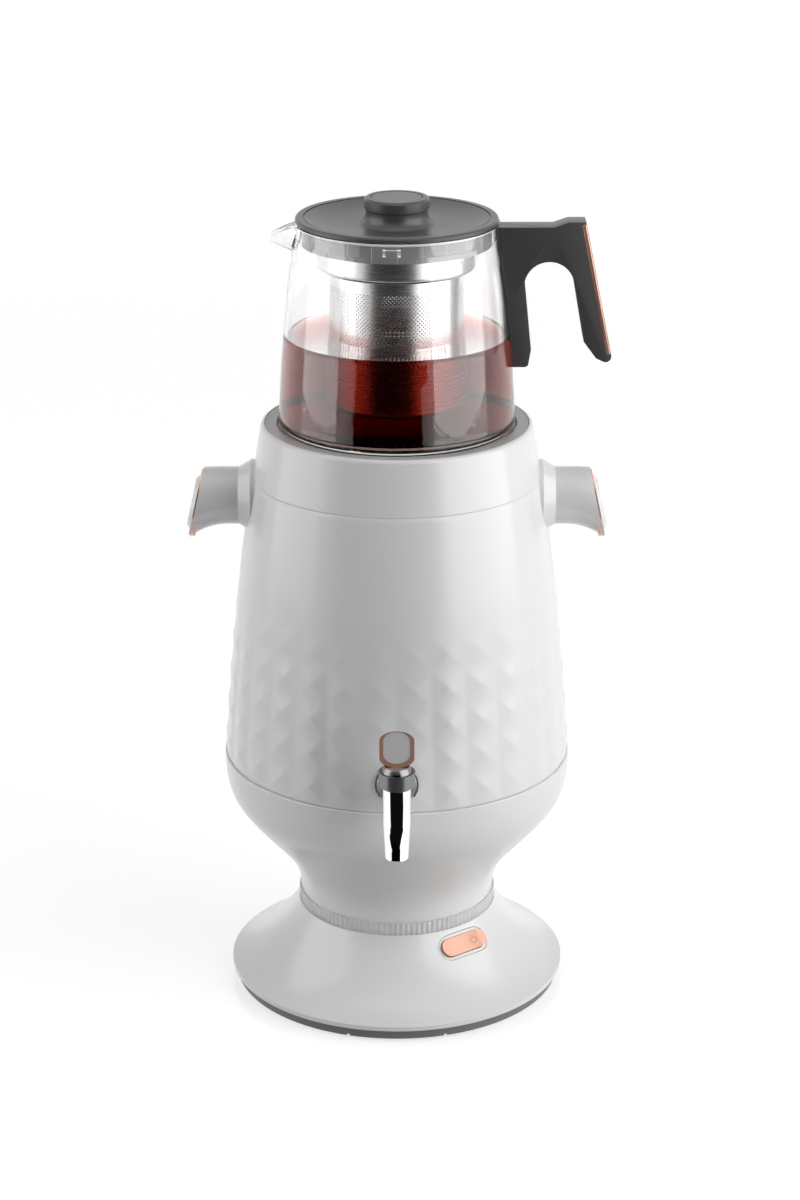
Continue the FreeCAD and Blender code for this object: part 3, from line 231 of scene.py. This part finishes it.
whiteGloss = grainy(
    "whiteGloss", (0.75, 0.75, 0.755), 0.3, depth=0.02, spread=0.04,
    **{"Coat Weight": 0.45, "Coat Roughness": 0.13, "Specular IOR Level": 0.4},
)
greyPlastic = grainy("greyPlastic", (0.16, 0.16, 0.165), 0.42, depth=0.25)
darkSatin = grainy("darkSatin", (0.068, 0.067, 0.066), 0.33, depth=0.12, spread=0.08)
rubberBlack = grainy("rubberBlack", (0.03, 0.03, 0.03), 0.8, depth=0.4)
silicone = grainy("silicone", (0.7, 0.7, 0.69), 0.5, depth=0.1)
pearlGrey = grainy(
    "pearlGrey", (0.5, 0.5, 0.505), 0.22, depth=0.03, **{"Coat Weight": 0.5, "Coat Roughness": 0.05},
)
boardGreen = grainy("boardGreen", (0.05, 0.2, 0.1), 0.5, depth=0.2)
satinMetal = grainy("satinMetal", (0.2, 0.2, 0.205), 0.26, depth=0.06, spread=0.1, Metallic=0.75)
plainSteel = grainy("plainSteel", (0.6, 0.6, 0.61), 0.3, depth=0.1, spread=0.15, Metallic=1.0)
aluminium = grainy("aluminium", (0.72, 0.72, 0.73), 0.45, depth=0.2, Metallic=1.0)
chrome = grainy("chrome", (0.9, 0.9, 0.91), 0.035, depth=0.0, spread=0.02, Metallic=1.0)
roseGold = grainy("roseGold", (0.72, 0.4, 0.29), 0.24, depth=0.05, spread=0.08, Metallic=0.65)
roseBrushed = grainy("roseBrushed", (0.62, 0.35, 0.255), 0.5, depth=0.3, spread=0.1, Metallic=0.5)
roseMark = grainy("roseMark", (0.4, 0.17, 0.1), 0.5, depth=0.1, Metallic=0.5)
seatGrey = grainy("seatGrey", (0.47, 0.48, 0.48), 0.35, depth=0.1)
markGrey = grainy("markGrey", (0.8, 0.8, 0.8), 0.4, depth=0.1)
brushedSteel = brushed("brushedSteel", (0.66, 0.655, 0.65), 0.2, depth=0.1)


def makeBasketSteel():
    material = brushed("basketSteel", (0.66, 0.655, 0.65), 0.2, depth=0.08)
    tree = material.node_tree
    holes = useGroup(tree, holeGroup, {})
    tree.links.new(holes.outputs["Solid"], tree.nodes["Principled BSDF"].inputs["Alpha"])
    return material


# Shows the first shader where the share is 0 and the second where it is 1
def mixSurface(tree, share, first, second):
    mix = addNode(tree, "ShaderNodeMixShader")
    for index, source in enumerate((share, first.outputs[0], second.outputs[0])):
        tree.links.new(source, mix.inputs[index])
    tree.links.new(mix.outputs[0], tree.nodes["Material Output"].inputs["Surface"])


# Lets lamp light through as a tint, so that glass casts a pale shadow
def clearInShadow(tree, shader, tint):
    path = addNode(tree, "ShaderNodeLightPath")
    clear = addNode(tree, "ShaderNodeBsdfTransparent")
    clear.inputs["Color"].default_value = (*tint, 1.0)
    mixSurface(tree, path.outputs["Is Shadow Ray"], shader, clear)


def makeGlass():
    material, tree, shader = newMaterial(
        "potGlass", {"Base Color": (1.0, 1.0, 1.0, 1.0), "Roughness": 0.0, "IOR": 1.47, "Metallic": 0.0,
                     "Transmission Weight": 1.0},
    )
    clearInShadow(tree, shader, (0.94, 0.95, 0.95))
    return material


def makeTeaLiquid():
    material, tree, shader = newMaterial(
        "teaLiquid", {"Base Color": (1.0, 0.97, 0.95, 1.0), "Roughness": 0.0, "IOR": 1.06, "Metallic": 0.0,
                      "Transmission Weight": 1.0},
    )
    absorb = addNode(tree, "ShaderNodeVolumeAbsorption")
    absorb.inputs["Color"].default_value = (0.7, 0.2, 0.06, 1.0)
    absorb.inputs["Density"].default_value = 90.0
    tree.links.new(absorb.outputs[0], tree.nodes["Material Output"].inputs["Volume"])
    place = addNode(tree, "ShaderNodeNewGeometry")
    split = addNode(tree, "ShaderNodeSeparateXYZ")
    tree.links.new(place.outputs["Normal"], split.inputs[0])
    facesUp = mathNode(tree, "GREATER_THAN", split.outputs["Z"], 0.95)
    tree.links.new(facesUp, shader.inputs["Coat Weight"])  # the surface shines more than the wall
    shader.inputs["Coat IOR"].default_value = 1.7
    clearInShadow(tree, shader, (0.95, 0.85, 0.8))
    return material


def makeSmokedPlastic():
    smoke = (0.3, 0.3, 0.3)
    pale = (0.75, 0.75, 0.75)
    material = grainy("smokedPlastic", smoke, 0.2, depth=0.04, **{"Transmission Weight": 0.55})
    tree = material.node_tree
    ticks = useGroup(tree, tickGroup, {})
    mix = addNode(tree, "ShaderNodeMix", data_type="RGBA")
    mix.inputs[6].default_value = (*smoke, 1.0)  # sockets 6, 7 and 2 are the colours in and out
    mix.inputs[7].default_value = (*pale, 1.0)
    tree.links.new(ticks.outputs["Line"], mix.inputs[0])
    tree.links.new(mix.outputs[2], tree.nodes["Principled BSDF"].inputs["Base Color"])
    return material


basketSteel = makeBasketSteel()
potGlass = makeGlass()
teaLiquid = makeTeaLiquid()
clearRibbed = grainy(
    "clearRibbed", (0.9, 0.9, 0.91), 0.18, depth=0.03, **{"Transmission Weight": 0.45, "IOR": 1.45},
)
smokedPlastic = makeSmokedPlastic()

nodeLooks = {
    "base_shell": whiteGloss, "bottom_cover": greyPlastic, "foot_ring": rubberBlack,
    "base_screws": plainSteel, "cord_gland": greyPlastic, "light_ring": clearRibbed,
    "light_board": boardGreen, "lower_shell": whiteGloss, "upper_shell": whiteGloss,
    "collar": whiteGloss, "water_tank": brushedSteel, "tank_seal": silicone, "seat_ring": seatGrey,
    "heating_plate": aluminium, "heating_element": plainSteel, "thermostat": darkSatin,
    "side_handle_left": whiteGloss, "side_handle_right": whiteGloss, "handle_trim_left": roseGold,
    "handle_trim_right": roseGold, "handle_insert_left": whiteGloss, "handle_insert_right": whiteGloss,
    "handle_screws": plainSteel, "tap_body": chrome, "tap_escutcheon": satinMetal,
    "tap_washers": silicone, "tap_nut": plainSteel, "tap_bonnet": satinMetal,
    "tap_pivot_pin": plainSteel, "tap_lever": satinMetal, "tap_lever_trim": roseGold,
    "tap_lever_insert": pearlGrey, "tap_link_pin": plainSteel, "tap_stem": plainSteel,
    "tap_plug": silicone, "tap_spring": plainSteel, "switch_housing": whiteGloss,
    "switch_rocker": roseBrushed, "teapot_glass": potGlass, "teapot_handle": darkSatin,
    "teapot_handle_trim": roseGold, "lid_plate": darkSatin, "lid_knob": darkSatin,
    "knob_cap": darkSatin, "knob_screw": plainSteel, "lid_skirt": smokedPlastic, "lid_seal": silicone,
    "infuser_collar": brushedSteel, "infuser_basket": basketSteel,
}
for name, look in nodeLooks.items():
    nodes[name].data.materials.clear()
    nodes[name].data.materials.append(look)
print("materials ready")


# pieces


def addObject(name, mesh, look):
    data = bpy.data.meshes.new(name)
    mesh.to_mesh(data)
    mesh.free()
    data.materials.append(look)
    thing = bpy.data.objects.new(name, data)
    bpy.context.scene.collection.objects.link(thing)
    return thing


# Turns a bmesh into a piece, hangs it on its body and hides the parts that it stands for
def finishPiece(name, mesh, look, body, replaced=()):
    piece = addObject(name, mesh, look)
    for face in piece.data.polygons:
        face.use_smooth = True
    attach(piece, body)
    if replaced:
        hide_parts(*replaced)
    return piece


# All lengths of the pieces are in millimetres
shell = {
    "seam": 143.5, "band": 144.0, "rows": 12, "row": 10.0, "top": 309.4, "columns": 30, "belly": 100.0,
    "shoulder": 81.4, "bulge": 2.25, "crease": 0.55, "fadeRows": 6, "smoothFrom": 8.0, "cells": 6,
    "lip": 97.0, "ledge": 98.4, "lipDepth": 3.0, "plainSteps": 16, "rimHeight": 0.5, "rimWidth": 0.45,
    "wall": 2.9,
}


# The shell's outside radius at a height: a straight taper with a slight bulge
def shellRadius(height):
    share = (height - shell["seam"]) / (shell["top"] - shell["seam"])
    chord = shell["belly"] + (shell["shoulder"] - shell["belly"]) * share
    return chord + 4 * shell["bulge"] * share * (1 - share)


# A point on a level circle, turned from the front by an angle in radians
def roundSpot(radius, angle, height):
    return Vector((radius * math.sin(angle), -radius * math.cos(angle), height))


# A corner of the diamond field. Every second row lies in, and comes out again towards the top
def facetCorner(row, step):
    height = shell["band"] + row * shell["row"]
    radius = shellRadius(height)
    if row % 2 == 0:
        fade = max(0.0, min(1.0, (shell["rows"] - row) / shell["fadeRows"]))
        radius -= fade * (radius * (1 - math.cos(math.pi / shell["columns"])) + shell["crease"])
    return roundSpot(radius, 2 * math.pi * step / shell["columns"], height)


# A point of the diamond whose middle is at this level.
# Odd levels fold along an upright crease, even ones are smooth
def diamondSpot(level, middle, across, up):
    left = facetCorner(level, middle - 0.5)
    right = facetCorner(level, middle + 0.5)
    below = facetCorner(level - 1, middle)
    above = facetCorner(level + 1, middle)
    if level % 2:
        side = left if across < 0 else right
        rest = 1 - abs(across)
        return side * abs(across) + above * (rest + up) / 2 + below * (rest - up) / 2
    rise = (1 + across + up) / 2
    fall = (1 + across - up) / 2
    return (
        left * (1 - rise) * (1 - fall) + above * rise * (1 - fall)
        + below * (1 - rise) * fall + right * rise * fall
    )


# A point in one half cell of the field, 0 to 1 across and up
def facetSpot(halfStep, row, across, up):
    rising = (halfStep + row) % 2 == 0
    upper = up > across if rising else up > 1 - across
    column = halfStep if rising == upper else halfStep + 1
    level = row + 1 if upper else row
    return diamondSpot(level, column / 2, halfStep + across - column, row + up - level)


def plainRing(radius, height, around):
    return [roundSpot(radius, 2 * math.pi * spot / around, height) for spot in range(around)]


# One ring through the diamond field, which melts into the plain round towards its top
def diamondRing(level, around):
    cells = shell["cells"]
    row = min(level // cells, shell["rows"] - 1)
    up = level / cells - row
    share = max(0.0, (level / cells - shell["smoothFrom"]) / (shell["rows"] - shell["smoothFrom"]))
    fade = share * share * (3 - 2 * share)
    points = []
    for spot in range(around):
        halfStep = spot // cells
        flat = facetSpot(halfStep, row, spot / cells - halfStep, up)
        points.append(flat.lerp(roundSpot(shellRadius(flat.z), 2 * math.pi * spot / around, flat.z), fade))
    return points


# Rings of points from the lip in the lower shell up to the rim under the collar
def shellRings(around):
    seam = shell["seam"]
    rings = [
        plainRing(shell["lip"], seam - shell["lipDepth"], around), plainRing(shell["lip"], seam, around),
        plainRing(shell["ledge"], seam, around),
    ]
    fieldStart = len(rings)
    rings += [diamondRing(level, around) for level in range(shell["rows"] * shell["cells"] + 1)]
    fieldTop = shell["band"] + shell["rows"] * shell["row"]
    for step in range(1, shell["plainSteps"] + 1):
        height = fieldTop + (shell["top"] - shell["rimHeight"] - fieldTop) * step / shell["plainSteps"]
        rings.append(plainRing(shellRadius(height), height, around))
    rings.append(plainRing(shell["shoulder"] - shell["rimWidth"], shell["top"], around))
    rings.append(plainRing(shell["shoulder"] - shell["wall"], shell["top"], around))
    rings.append(plainRing(shell["shoulder"] - shell["wall"], shell["top"] - shell["lipDepth"], around))
    return rings, fieldStart


def makeShellSkin():
    mesh = bmesh.new()
    cells = shell["cells"]
    around = 2 * shell["columns"] * cells
    rings, fieldStart = shellRings(around)
    rings = [[mesh.verts.new(point * millimetre) for point in points] for points in rings]
    for level, (low, high) in enumerate(zip(rings, rings[1:])):
        row = (level - fieldStart) // cells
        for spot in range(around):
            after = (spot + 1) % around
            if not 0 <= row < shell["rows"]:
                mesh.faces.new((low[spot], low[after], high[after], high[spot]))
            elif (spot // cells + row) % 2 == 0:  # the cut across a cell follows the diamond's edge
                mesh.faces.new((low[spot], low[after], high[after]))
                mesh.faces.new((low[spot], high[after], high[spot]))
            else:
                mesh.faces.new((low[spot], low[after], high[spot]))
                mesh.faces.new((low[after], high[after], high[spot]))
    return finishPiece("shellSkin", mesh, whiteGloss, "urn", ["upper_shell"])


# Tea up to a level, a hair into the glass so that no air lies between them
def makeTea():
    tea = {
        "floor": 341.55, "floorRadius": 60.2, "corner": 344.7, "level": 391.5, "lap": 0.45, "steps": 14,
        "climb": 0.5, "climbWidth": 0.9, "wallFoot": (64.2, 344.75), "wallTop": (61.2, 389.05), "bulge": 0.35,
    }
    mesh = bmesh.new()

    def wallRadius(height):  # the inside of the glass
        footRadius, footHeight = tea["wallFoot"]
        topRadius, topHeight = tea["wallTop"]
        share = (height - footHeight) / (topHeight - footHeight)
        return footRadius + (topRadius - footRadius) * share + tea["bulge"] * share * (1 - share)

    points = [(0.0, tea["floor"]), (tea["floorRadius"], tea["floor"])]
    for step in range(tea["steps"] + 1):
        height = tea["corner"] + (tea["level"] - tea["corner"]) * step / tea["steps"]
        points.append((wallRadius(height) + tea["lap"], height))
    points[-1] = (points[-1][0], tea["level"] + tea["climb"])
    points.append((wallRadius(tea["level"]) - tea["climbWidth"], tea["level"]))
    points.append((0.0, tea["level"]))
    line = [mesh.verts.new(Vector((radius, 0, height)) * millimetre) for radius, height in points]
    edges = [mesh.edges.new(pair) for pair in zip(line, line[1:])]
    bmesh.ops.spin(
        mesh, geom=line + edges, cent=(0, 0, 0), axis=(0, 0, 1), angle=2 * math.pi, steps=160, use_merge=True,
    )
    bmesh.ops.remove_doubles(mesh, verts=mesh.verts, dist=1e-6)
    bmesh.ops.recalc_face_normals(mesh, faces=mesh.faces)
    return finishPiece("tea", mesh, teaLiquid, "teapot")


# The handle's own solid, with its sharp edges rounded. The angles are in degrees
def makeSoftHandle():
    handle = {"edge": 1.6, "segments": 3, "sharp": 28.0, "flat": 0.5}
    mesh = bmesh.new()
    mesh.from_mesh(nodes["teapot_handle"].data)
    bmesh.ops.remove_doubles(mesh, verts=mesh.verts, dist=1e-6)
    flat = math.radians(handle["flat"])
    bmesh.ops.dissolve_limit(mesh, angle_limit=flat, verts=mesh.verts, edges=mesh.edges)
    limit = math.radians(handle["sharp"])
    sharp = [edge for edge in mesh.edges if edge.is_manifold and edge.calc_face_angle(0) > limit]
    bmesh.ops.bevel(
        mesh, geom=sharp, offset=handle["edge"] * millimetre, affect="EDGES", segments=handle["segments"],
        profile=0.5, material=-1, clamp_overlap=True, offset_type="OFFSET",
    )
    return finishPiece("soft_teapot_handle", mesh, darkSatin, "teapot", ["teapot_handle"])


# The rose strip down the handle's outer edge, as wide as the handle so that it shows from the side
def makeHandleStrip():
    strip = {
        "top": (103.6, 0, 455.25), "foot": (119.0, 0, 380.05), "margin": 1.0, "depth": 2.5, "inset": 0.2,
        "half": 7.35, "edge": 0.5,
    }
    mesh = bmesh.new()
    top = Vector(strip["top"])
    foot = Vector(strip["foot"])
    run = (foot - top).normalized()
    out = Vector((-run.z, 0, run.x))
    start = top + run * strip["margin"]
    end = foot - run * strip["margin"]
    corners = [
        start - out * strip["depth"], start - out * strip["inset"], end - out * strip["inset"],
        end - out * strip["depth"],
    ]
    lift = Vector((0, strip["half"], 0))
    face = mesh.faces.new([mesh.verts.new((corner - lift) * millimetre) for corner in corners])
    grown = bmesh.ops.extrude_face_region(mesh, geom=[face])
    raised = [item for item in grown["geom"] if isinstance(item, bmesh.types.BMVert)]
    bmesh.ops.translate(mesh, verts=raised, vec=2 * lift * millimetre)
    bmesh.ops.recalc_face_normals(mesh, faces=mesh.faces)
    bmesh.ops.bevel(
        mesh, geom=mesh.edges[:], offset=strip["edge"] * millimetre, affect="EDGES", segments=2, profile=0.5,
        material=-1,
    )
    return finishPiece("handleStrip", mesh, roseGold, "teapot", ["teapot_handle_trim"])


# A strip of faces through pairs of points
def joinPairs(mesh, pairs):
    for first, second in zip(pairs, pairs[1:]):
        mesh.faces.new((first[0], second[0], second[1], first[1]))


# A patch on an upright round wall, from an angle in degrees, a height and its half width and half height
def wallPatch(mesh, radius, angle, height, halfSize, steps=6):
    pairs = []
    for step in range(steps + 1):
        turn = math.radians(angle) + (2 * step / steps - 1) * halfSize[0] / radius
        ends = (height - halfSize[1], height + halfSize[1])
        pairs.append([mesh.verts.new(roundSpot(radius, turn, end) * millimetre) for end in ends])
    joinPairs(mesh, pairs)


# Two small padlocks under a bar, open and shut, on the front of the lid's skirt
def makeLidMarks():
    marks = {
        "radius": 52.32, "middle": -3.0, "bar": 450.4, "barSize": (4.4, 0.18), "barSteps": 12,
        "spread": 4.4, "end": (0.8, 0.5), "body": 447.2, "bodySize": (0.75, 0.55),
        "legTurn": 0.55, "legRise": 1.1, "leg": (0.14, 0.55), "shortLeg": (0.14, 0.3), "openRise": 1.4,
        "bowRise": 1.75, "bow": (0.6, 0.14),
    }
    mesh = bmesh.new()
    radius = marks["radius"]
    body = marks["body"]
    wallPatch(mesh, radius, marks["middle"], marks["bar"], marks["barSize"], marks["barSteps"])
    for side, rise in ((-1, marks["legRise"]), (1, marks["openRise"])):
        angle = marks["middle"] + side * marks["spread"]
        wallPatch(mesh, radius, angle, marks["bar"], marks["end"])
        wallPatch(mesh, radius, angle, body, marks["bodySize"])
        wallPatch(mesh, radius, angle - marks["legTurn"], body + marks["legRise"], marks["leg"])
        wallPatch(mesh, radius, angle + marks["legTurn"], body + rise, marks["shortLeg"])
        wallPatch(mesh, radius, angle, body + marks["bowRise"], marks["bow"])
    return finishPiece("lidMarks", mesh, markGrey, "lid")


# The outline of a drop on the steel cup's wall
def makeDropMark():
    drop = {
        "radius": 44.78, "angle": 50.0, "height": 436.5, "size": 1.35, "width": 0.3, "steps": 28,
        "tip": 0.8, "tipPower": 6,
    }
    mesh = bmesh.new()
    pairs = []
    for step in range(drop["steps"]):
        turn = 2 * math.pi * step / drop["steps"]
        tip = drop["tip"] * max(0.0, math.cos(turn)) ** drop["tipPower"]
        pair = []
        for size in (drop["size"] - drop["width"] / 2, drop["size"] + drop["width"] / 2):
            angle = math.radians(drop["angle"]) + size * math.sin(turn) / drop["radius"]
            spot = roundSpot(drop["radius"], angle, drop["height"] + size * (math.cos(turn) + tip))
            pair.append(mesh.verts.new(spot * millimetre))
        pairs.append(pair)
    joinPairs(mesh, pairs + pairs[:1])
    return finishPiece("dropMark", mesh, darkSatin, "infuser")


makeShellSkin()
makeTea()
makeSoftHandle()
makeHandleStrip()
makeLidMarks()
makeDropMark()
print("pieces ready")


# power mark on the rocker

# The rocker's tilt at rest, the slope of the base that it lies in, and the curve of its face
rocker = {
    "pin": -3.4, "tilt": -4.0, "out": 63.6, "height": 39.6, "slope": 47.0, "turn": 37.7, "middle": 0.6,
    "curve": 108.0,
}


# From the rocker's own flat plane onto the slope of the base, at its rest tilt
def rockerPlace():
    pin = Vector((0, 0, rocker["pin"]))
    turnOver = Matrix.Rotation(math.radians(rocker["tilt"]), 4, "Y")
    tilt = Matrix.Translation(pin) @ turnOver @ Matrix.Translation(-pin)
    out = Matrix.Translation((0, -rocker["out"], rocker["height"]))
    slope = out @ Matrix.Rotation(math.radians(rocker["slope"]), 4, "X")
    return Matrix.Rotation(math.radians(rocker["turn"]), 4, "Z") @ slope @ tilt


def makePowerMark():
    mark = {
        "x": 6.5, "radius": 2.0, "width": 0.42, "gap": 62.0, "lift": 0.06, "bar": 2.3, "barStart": 0.4,
        "steps": 40,
    }
    mesh = bmesh.new()
    place = rockerPlace()
    half = mark["width"] / 2
    gap = math.radians(mark["gap"] / 2)

    def markVert(x, y, curveAt):
        height = rocker["middle"] + curveAt * curveAt / rocker["curve"] + mark["lift"]
        return mesh.verts.new(place @ Vector((x, y, height)) * millimetre)

    pairs = []
    for step in range(mark["steps"] + 1):
        angle = math.pi / 2 + gap + (2 * math.pi - 2 * gap) * step / mark["steps"]
        pair = []
        for radius in (mark["radius"] - half, mark["radius"] + half):
            x = mark["x"] + radius * math.cos(angle)
            pair.append(markVert(x, radius * math.sin(angle), x))
        pairs.append(pair)
    joinPairs(mesh, pairs[::-1])
    low = mark["barStart"]
    high = low + mark["bar"]
    corners = ((-half, low), (half, low), (half, high), (-half, high))
    mesh.faces.new([markVert(mark["x"] + x, y, mark["x"]) for x, y in corners])
    return finishPiece("powerMark", mesh, roseMark, "switch")


makePowerMark()
print("marks ready")


# studio

# The studio's lengths are in metres
studio = {
    "floorWhite": 0.67, "floorFill": 0.0, "wallWhite": 1.02, "wallFill": 0.05, "worldWhite": 1.0,
    "worldFill": 0.03, "halfWidth": 9.0, "wallPlace": 2.2, "wallFoot": -0.2, "wallTop": 3.2,
    "lampAim": (0, 0, 0.28),
    "cards": {
        "frontCard": [(-2.2, -2.6, 0.003), (1.1, -2.6, 0.003), (0.3, -0.35, 0.003), (-0.45, -0.35, 0.003)],
        "cameraCard": [(-2.9, -2.6, 0.003), (1.5, -2.6, 0.003), (1.5, -2.6, 2.6), (-2.9, -2.6, 2.6)],
    },
    "lamps": [
        ("boxRight", (1.38, -0.6, 0.75), (2.0, 1.9), 34.0),
        ("boxLeft", (-1.48, -0.2, 0.75), (1.4, 1.9), 17.0),
        ("boxTop", (0.0, 0.0, 2.1), (1.2, 1.2), 3.5),
    ],
}


def stageSheet(name, corners, look):
    mesh = bmesh.new()
    mesh.faces.new([mesh.verts.new(corner) for corner in corners])
    sheet = addObject(name, mesh, look)
    return sheet


# White for the camera, for metal and for glass, and a quiet fill for everything else
def seenStrength(tree, white, fill):
    path = addNode(tree, "ShaderNodeLightPath")
    seen = mathNode(tree, "MAXIMUM", path.outputs["Is Camera Ray"], path.outputs["Is Glossy Ray"])
    seen = mathNode(tree, "MAXIMUM", seen, path.outputs["Is Transmission Ray"])
    return mathNode(tree, "MULTIPLY_ADD", seen, white - fill, fill)


def makeStage():
    side = studio["halfWidth"]
    back = studio["wallPlace"]
    floor, tree, shader = newMaterial(
        "paleFloor", {"Base Color": (0.5, 0.5, 0.5, 1.0), "Roughness": 0.12, "Emission Color": (1, 1, 1, 1),
                      "IOR": 1.35},
    )
    glow = seenStrength(tree, studio["floorWhite"], studio["floorFill"])
    tree.links.new(glow, shader.inputs["Emission Strength"])
    stageSheet("floor", [(-side, -side, 0), (side, -side, 0), (side, back, 0), (-side, back, 0)], floor)
    wall, tree, shader = newMaterial(
        "whiteWall", {"Base Color": (0, 0, 0, 1), "Roughness": 1.0, "Specular IOR Level": 0.0,
                      "Emission Color": (1, 1, 1, 1)},
    )
    glow = seenStrength(tree, studio["wallWhite"], studio["wallFill"])
    tree.links.new(glow, shader.inputs["Emission Strength"])
    low = studio["wallFoot"]
    high = studio["wallTop"]
    wallEnds = ((-side, low), (side, low), (side, high), (-side, high))
    stageSheet("backdrop", [(x, back, z) for x, z in wallEnds], wall)


# Dark cards that show only in reflections, for the dark cores of metal and glass
def makeCards():
    dark, tree, shader = newMaterial(
        "darkCard", {"Base Color": (0.006, 0.006, 0.006, 1), "Specular IOR Level": 0.0},
    )
    path = addNode(tree, "ShaderNodeLightPath")
    clear = addNode(tree, "ShaderNodeBsdfTransparent")
    mixSurface(tree, mathNode(tree, "MINIMUM", path.outputs["Glossy Depth"], 1.0), clear, shader)
    for name, corners in studio["cards"].items():
        card = stageSheet(name, corners, dark)
        card.visible_camera = card.visible_diffuse = card.visible_shadow = False


def addLamp(name, place, target, size, power):
    data = bpy.data.lights.new(name, "AREA")
    data.shape = "RECTANGLE"
    data.size, data.size_y = size
    data.energy = power
    lamp = bpy.data.objects.new(name, data)
    lamp.location = place
    lamp.rotation_euler = (Vector(target) - Vector(place)).to_track_quat("-Z", "Y").to_euler()
    bpy.context.scene.collection.objects.link(lamp)


def makeWorld():
    world = bpy.data.worlds.new("studio")
    world.use_nodes = True
    tree = world.node_tree
    background = tree.nodes["Background"]
    background.inputs["Color"].default_value = (1, 1, 1, 1)
    glow = seenStrength(tree, studio["worldWhite"], studio["worldFill"])
    tree.links.new(glow, background.inputs["Strength"])
    bpy.context.scene.world = world


def addCamera():
    view = {
        "place": (0.0, -1.59023, 0.81311), "down": 20.0335, "lens": 88.443, "sensor": 36.0, "shift": 0.002625,
        "reach": 20.0,
    }
    data = bpy.data.cameras.new("camera")
    data.sensor_width = view["sensor"]
    data.lens = view["lens"]
    data.shift_x = view["shift"]
    data.clip_end = view["reach"]
    camera = bpy.data.objects.new("camera", data)
    camera.location = view["place"]
    camera.rotation_euler = (math.radians(90 - view["down"]), 0.0, 0.0)
    bpy.context.scene.collection.objects.link(camera)
    bpy.context.scene.camera = camera


makeStage()
makeCards()
makeWorld()
for lampName, lampPlace, lampSize, lampPower in studio["lamps"]:
    addLamp(lampName, lampPlace, studio["lampAim"], lampSize, lampPower)
addCamera()
bpy.context.scene.view_settings.view_transform = "Standard"
print("studio ready")
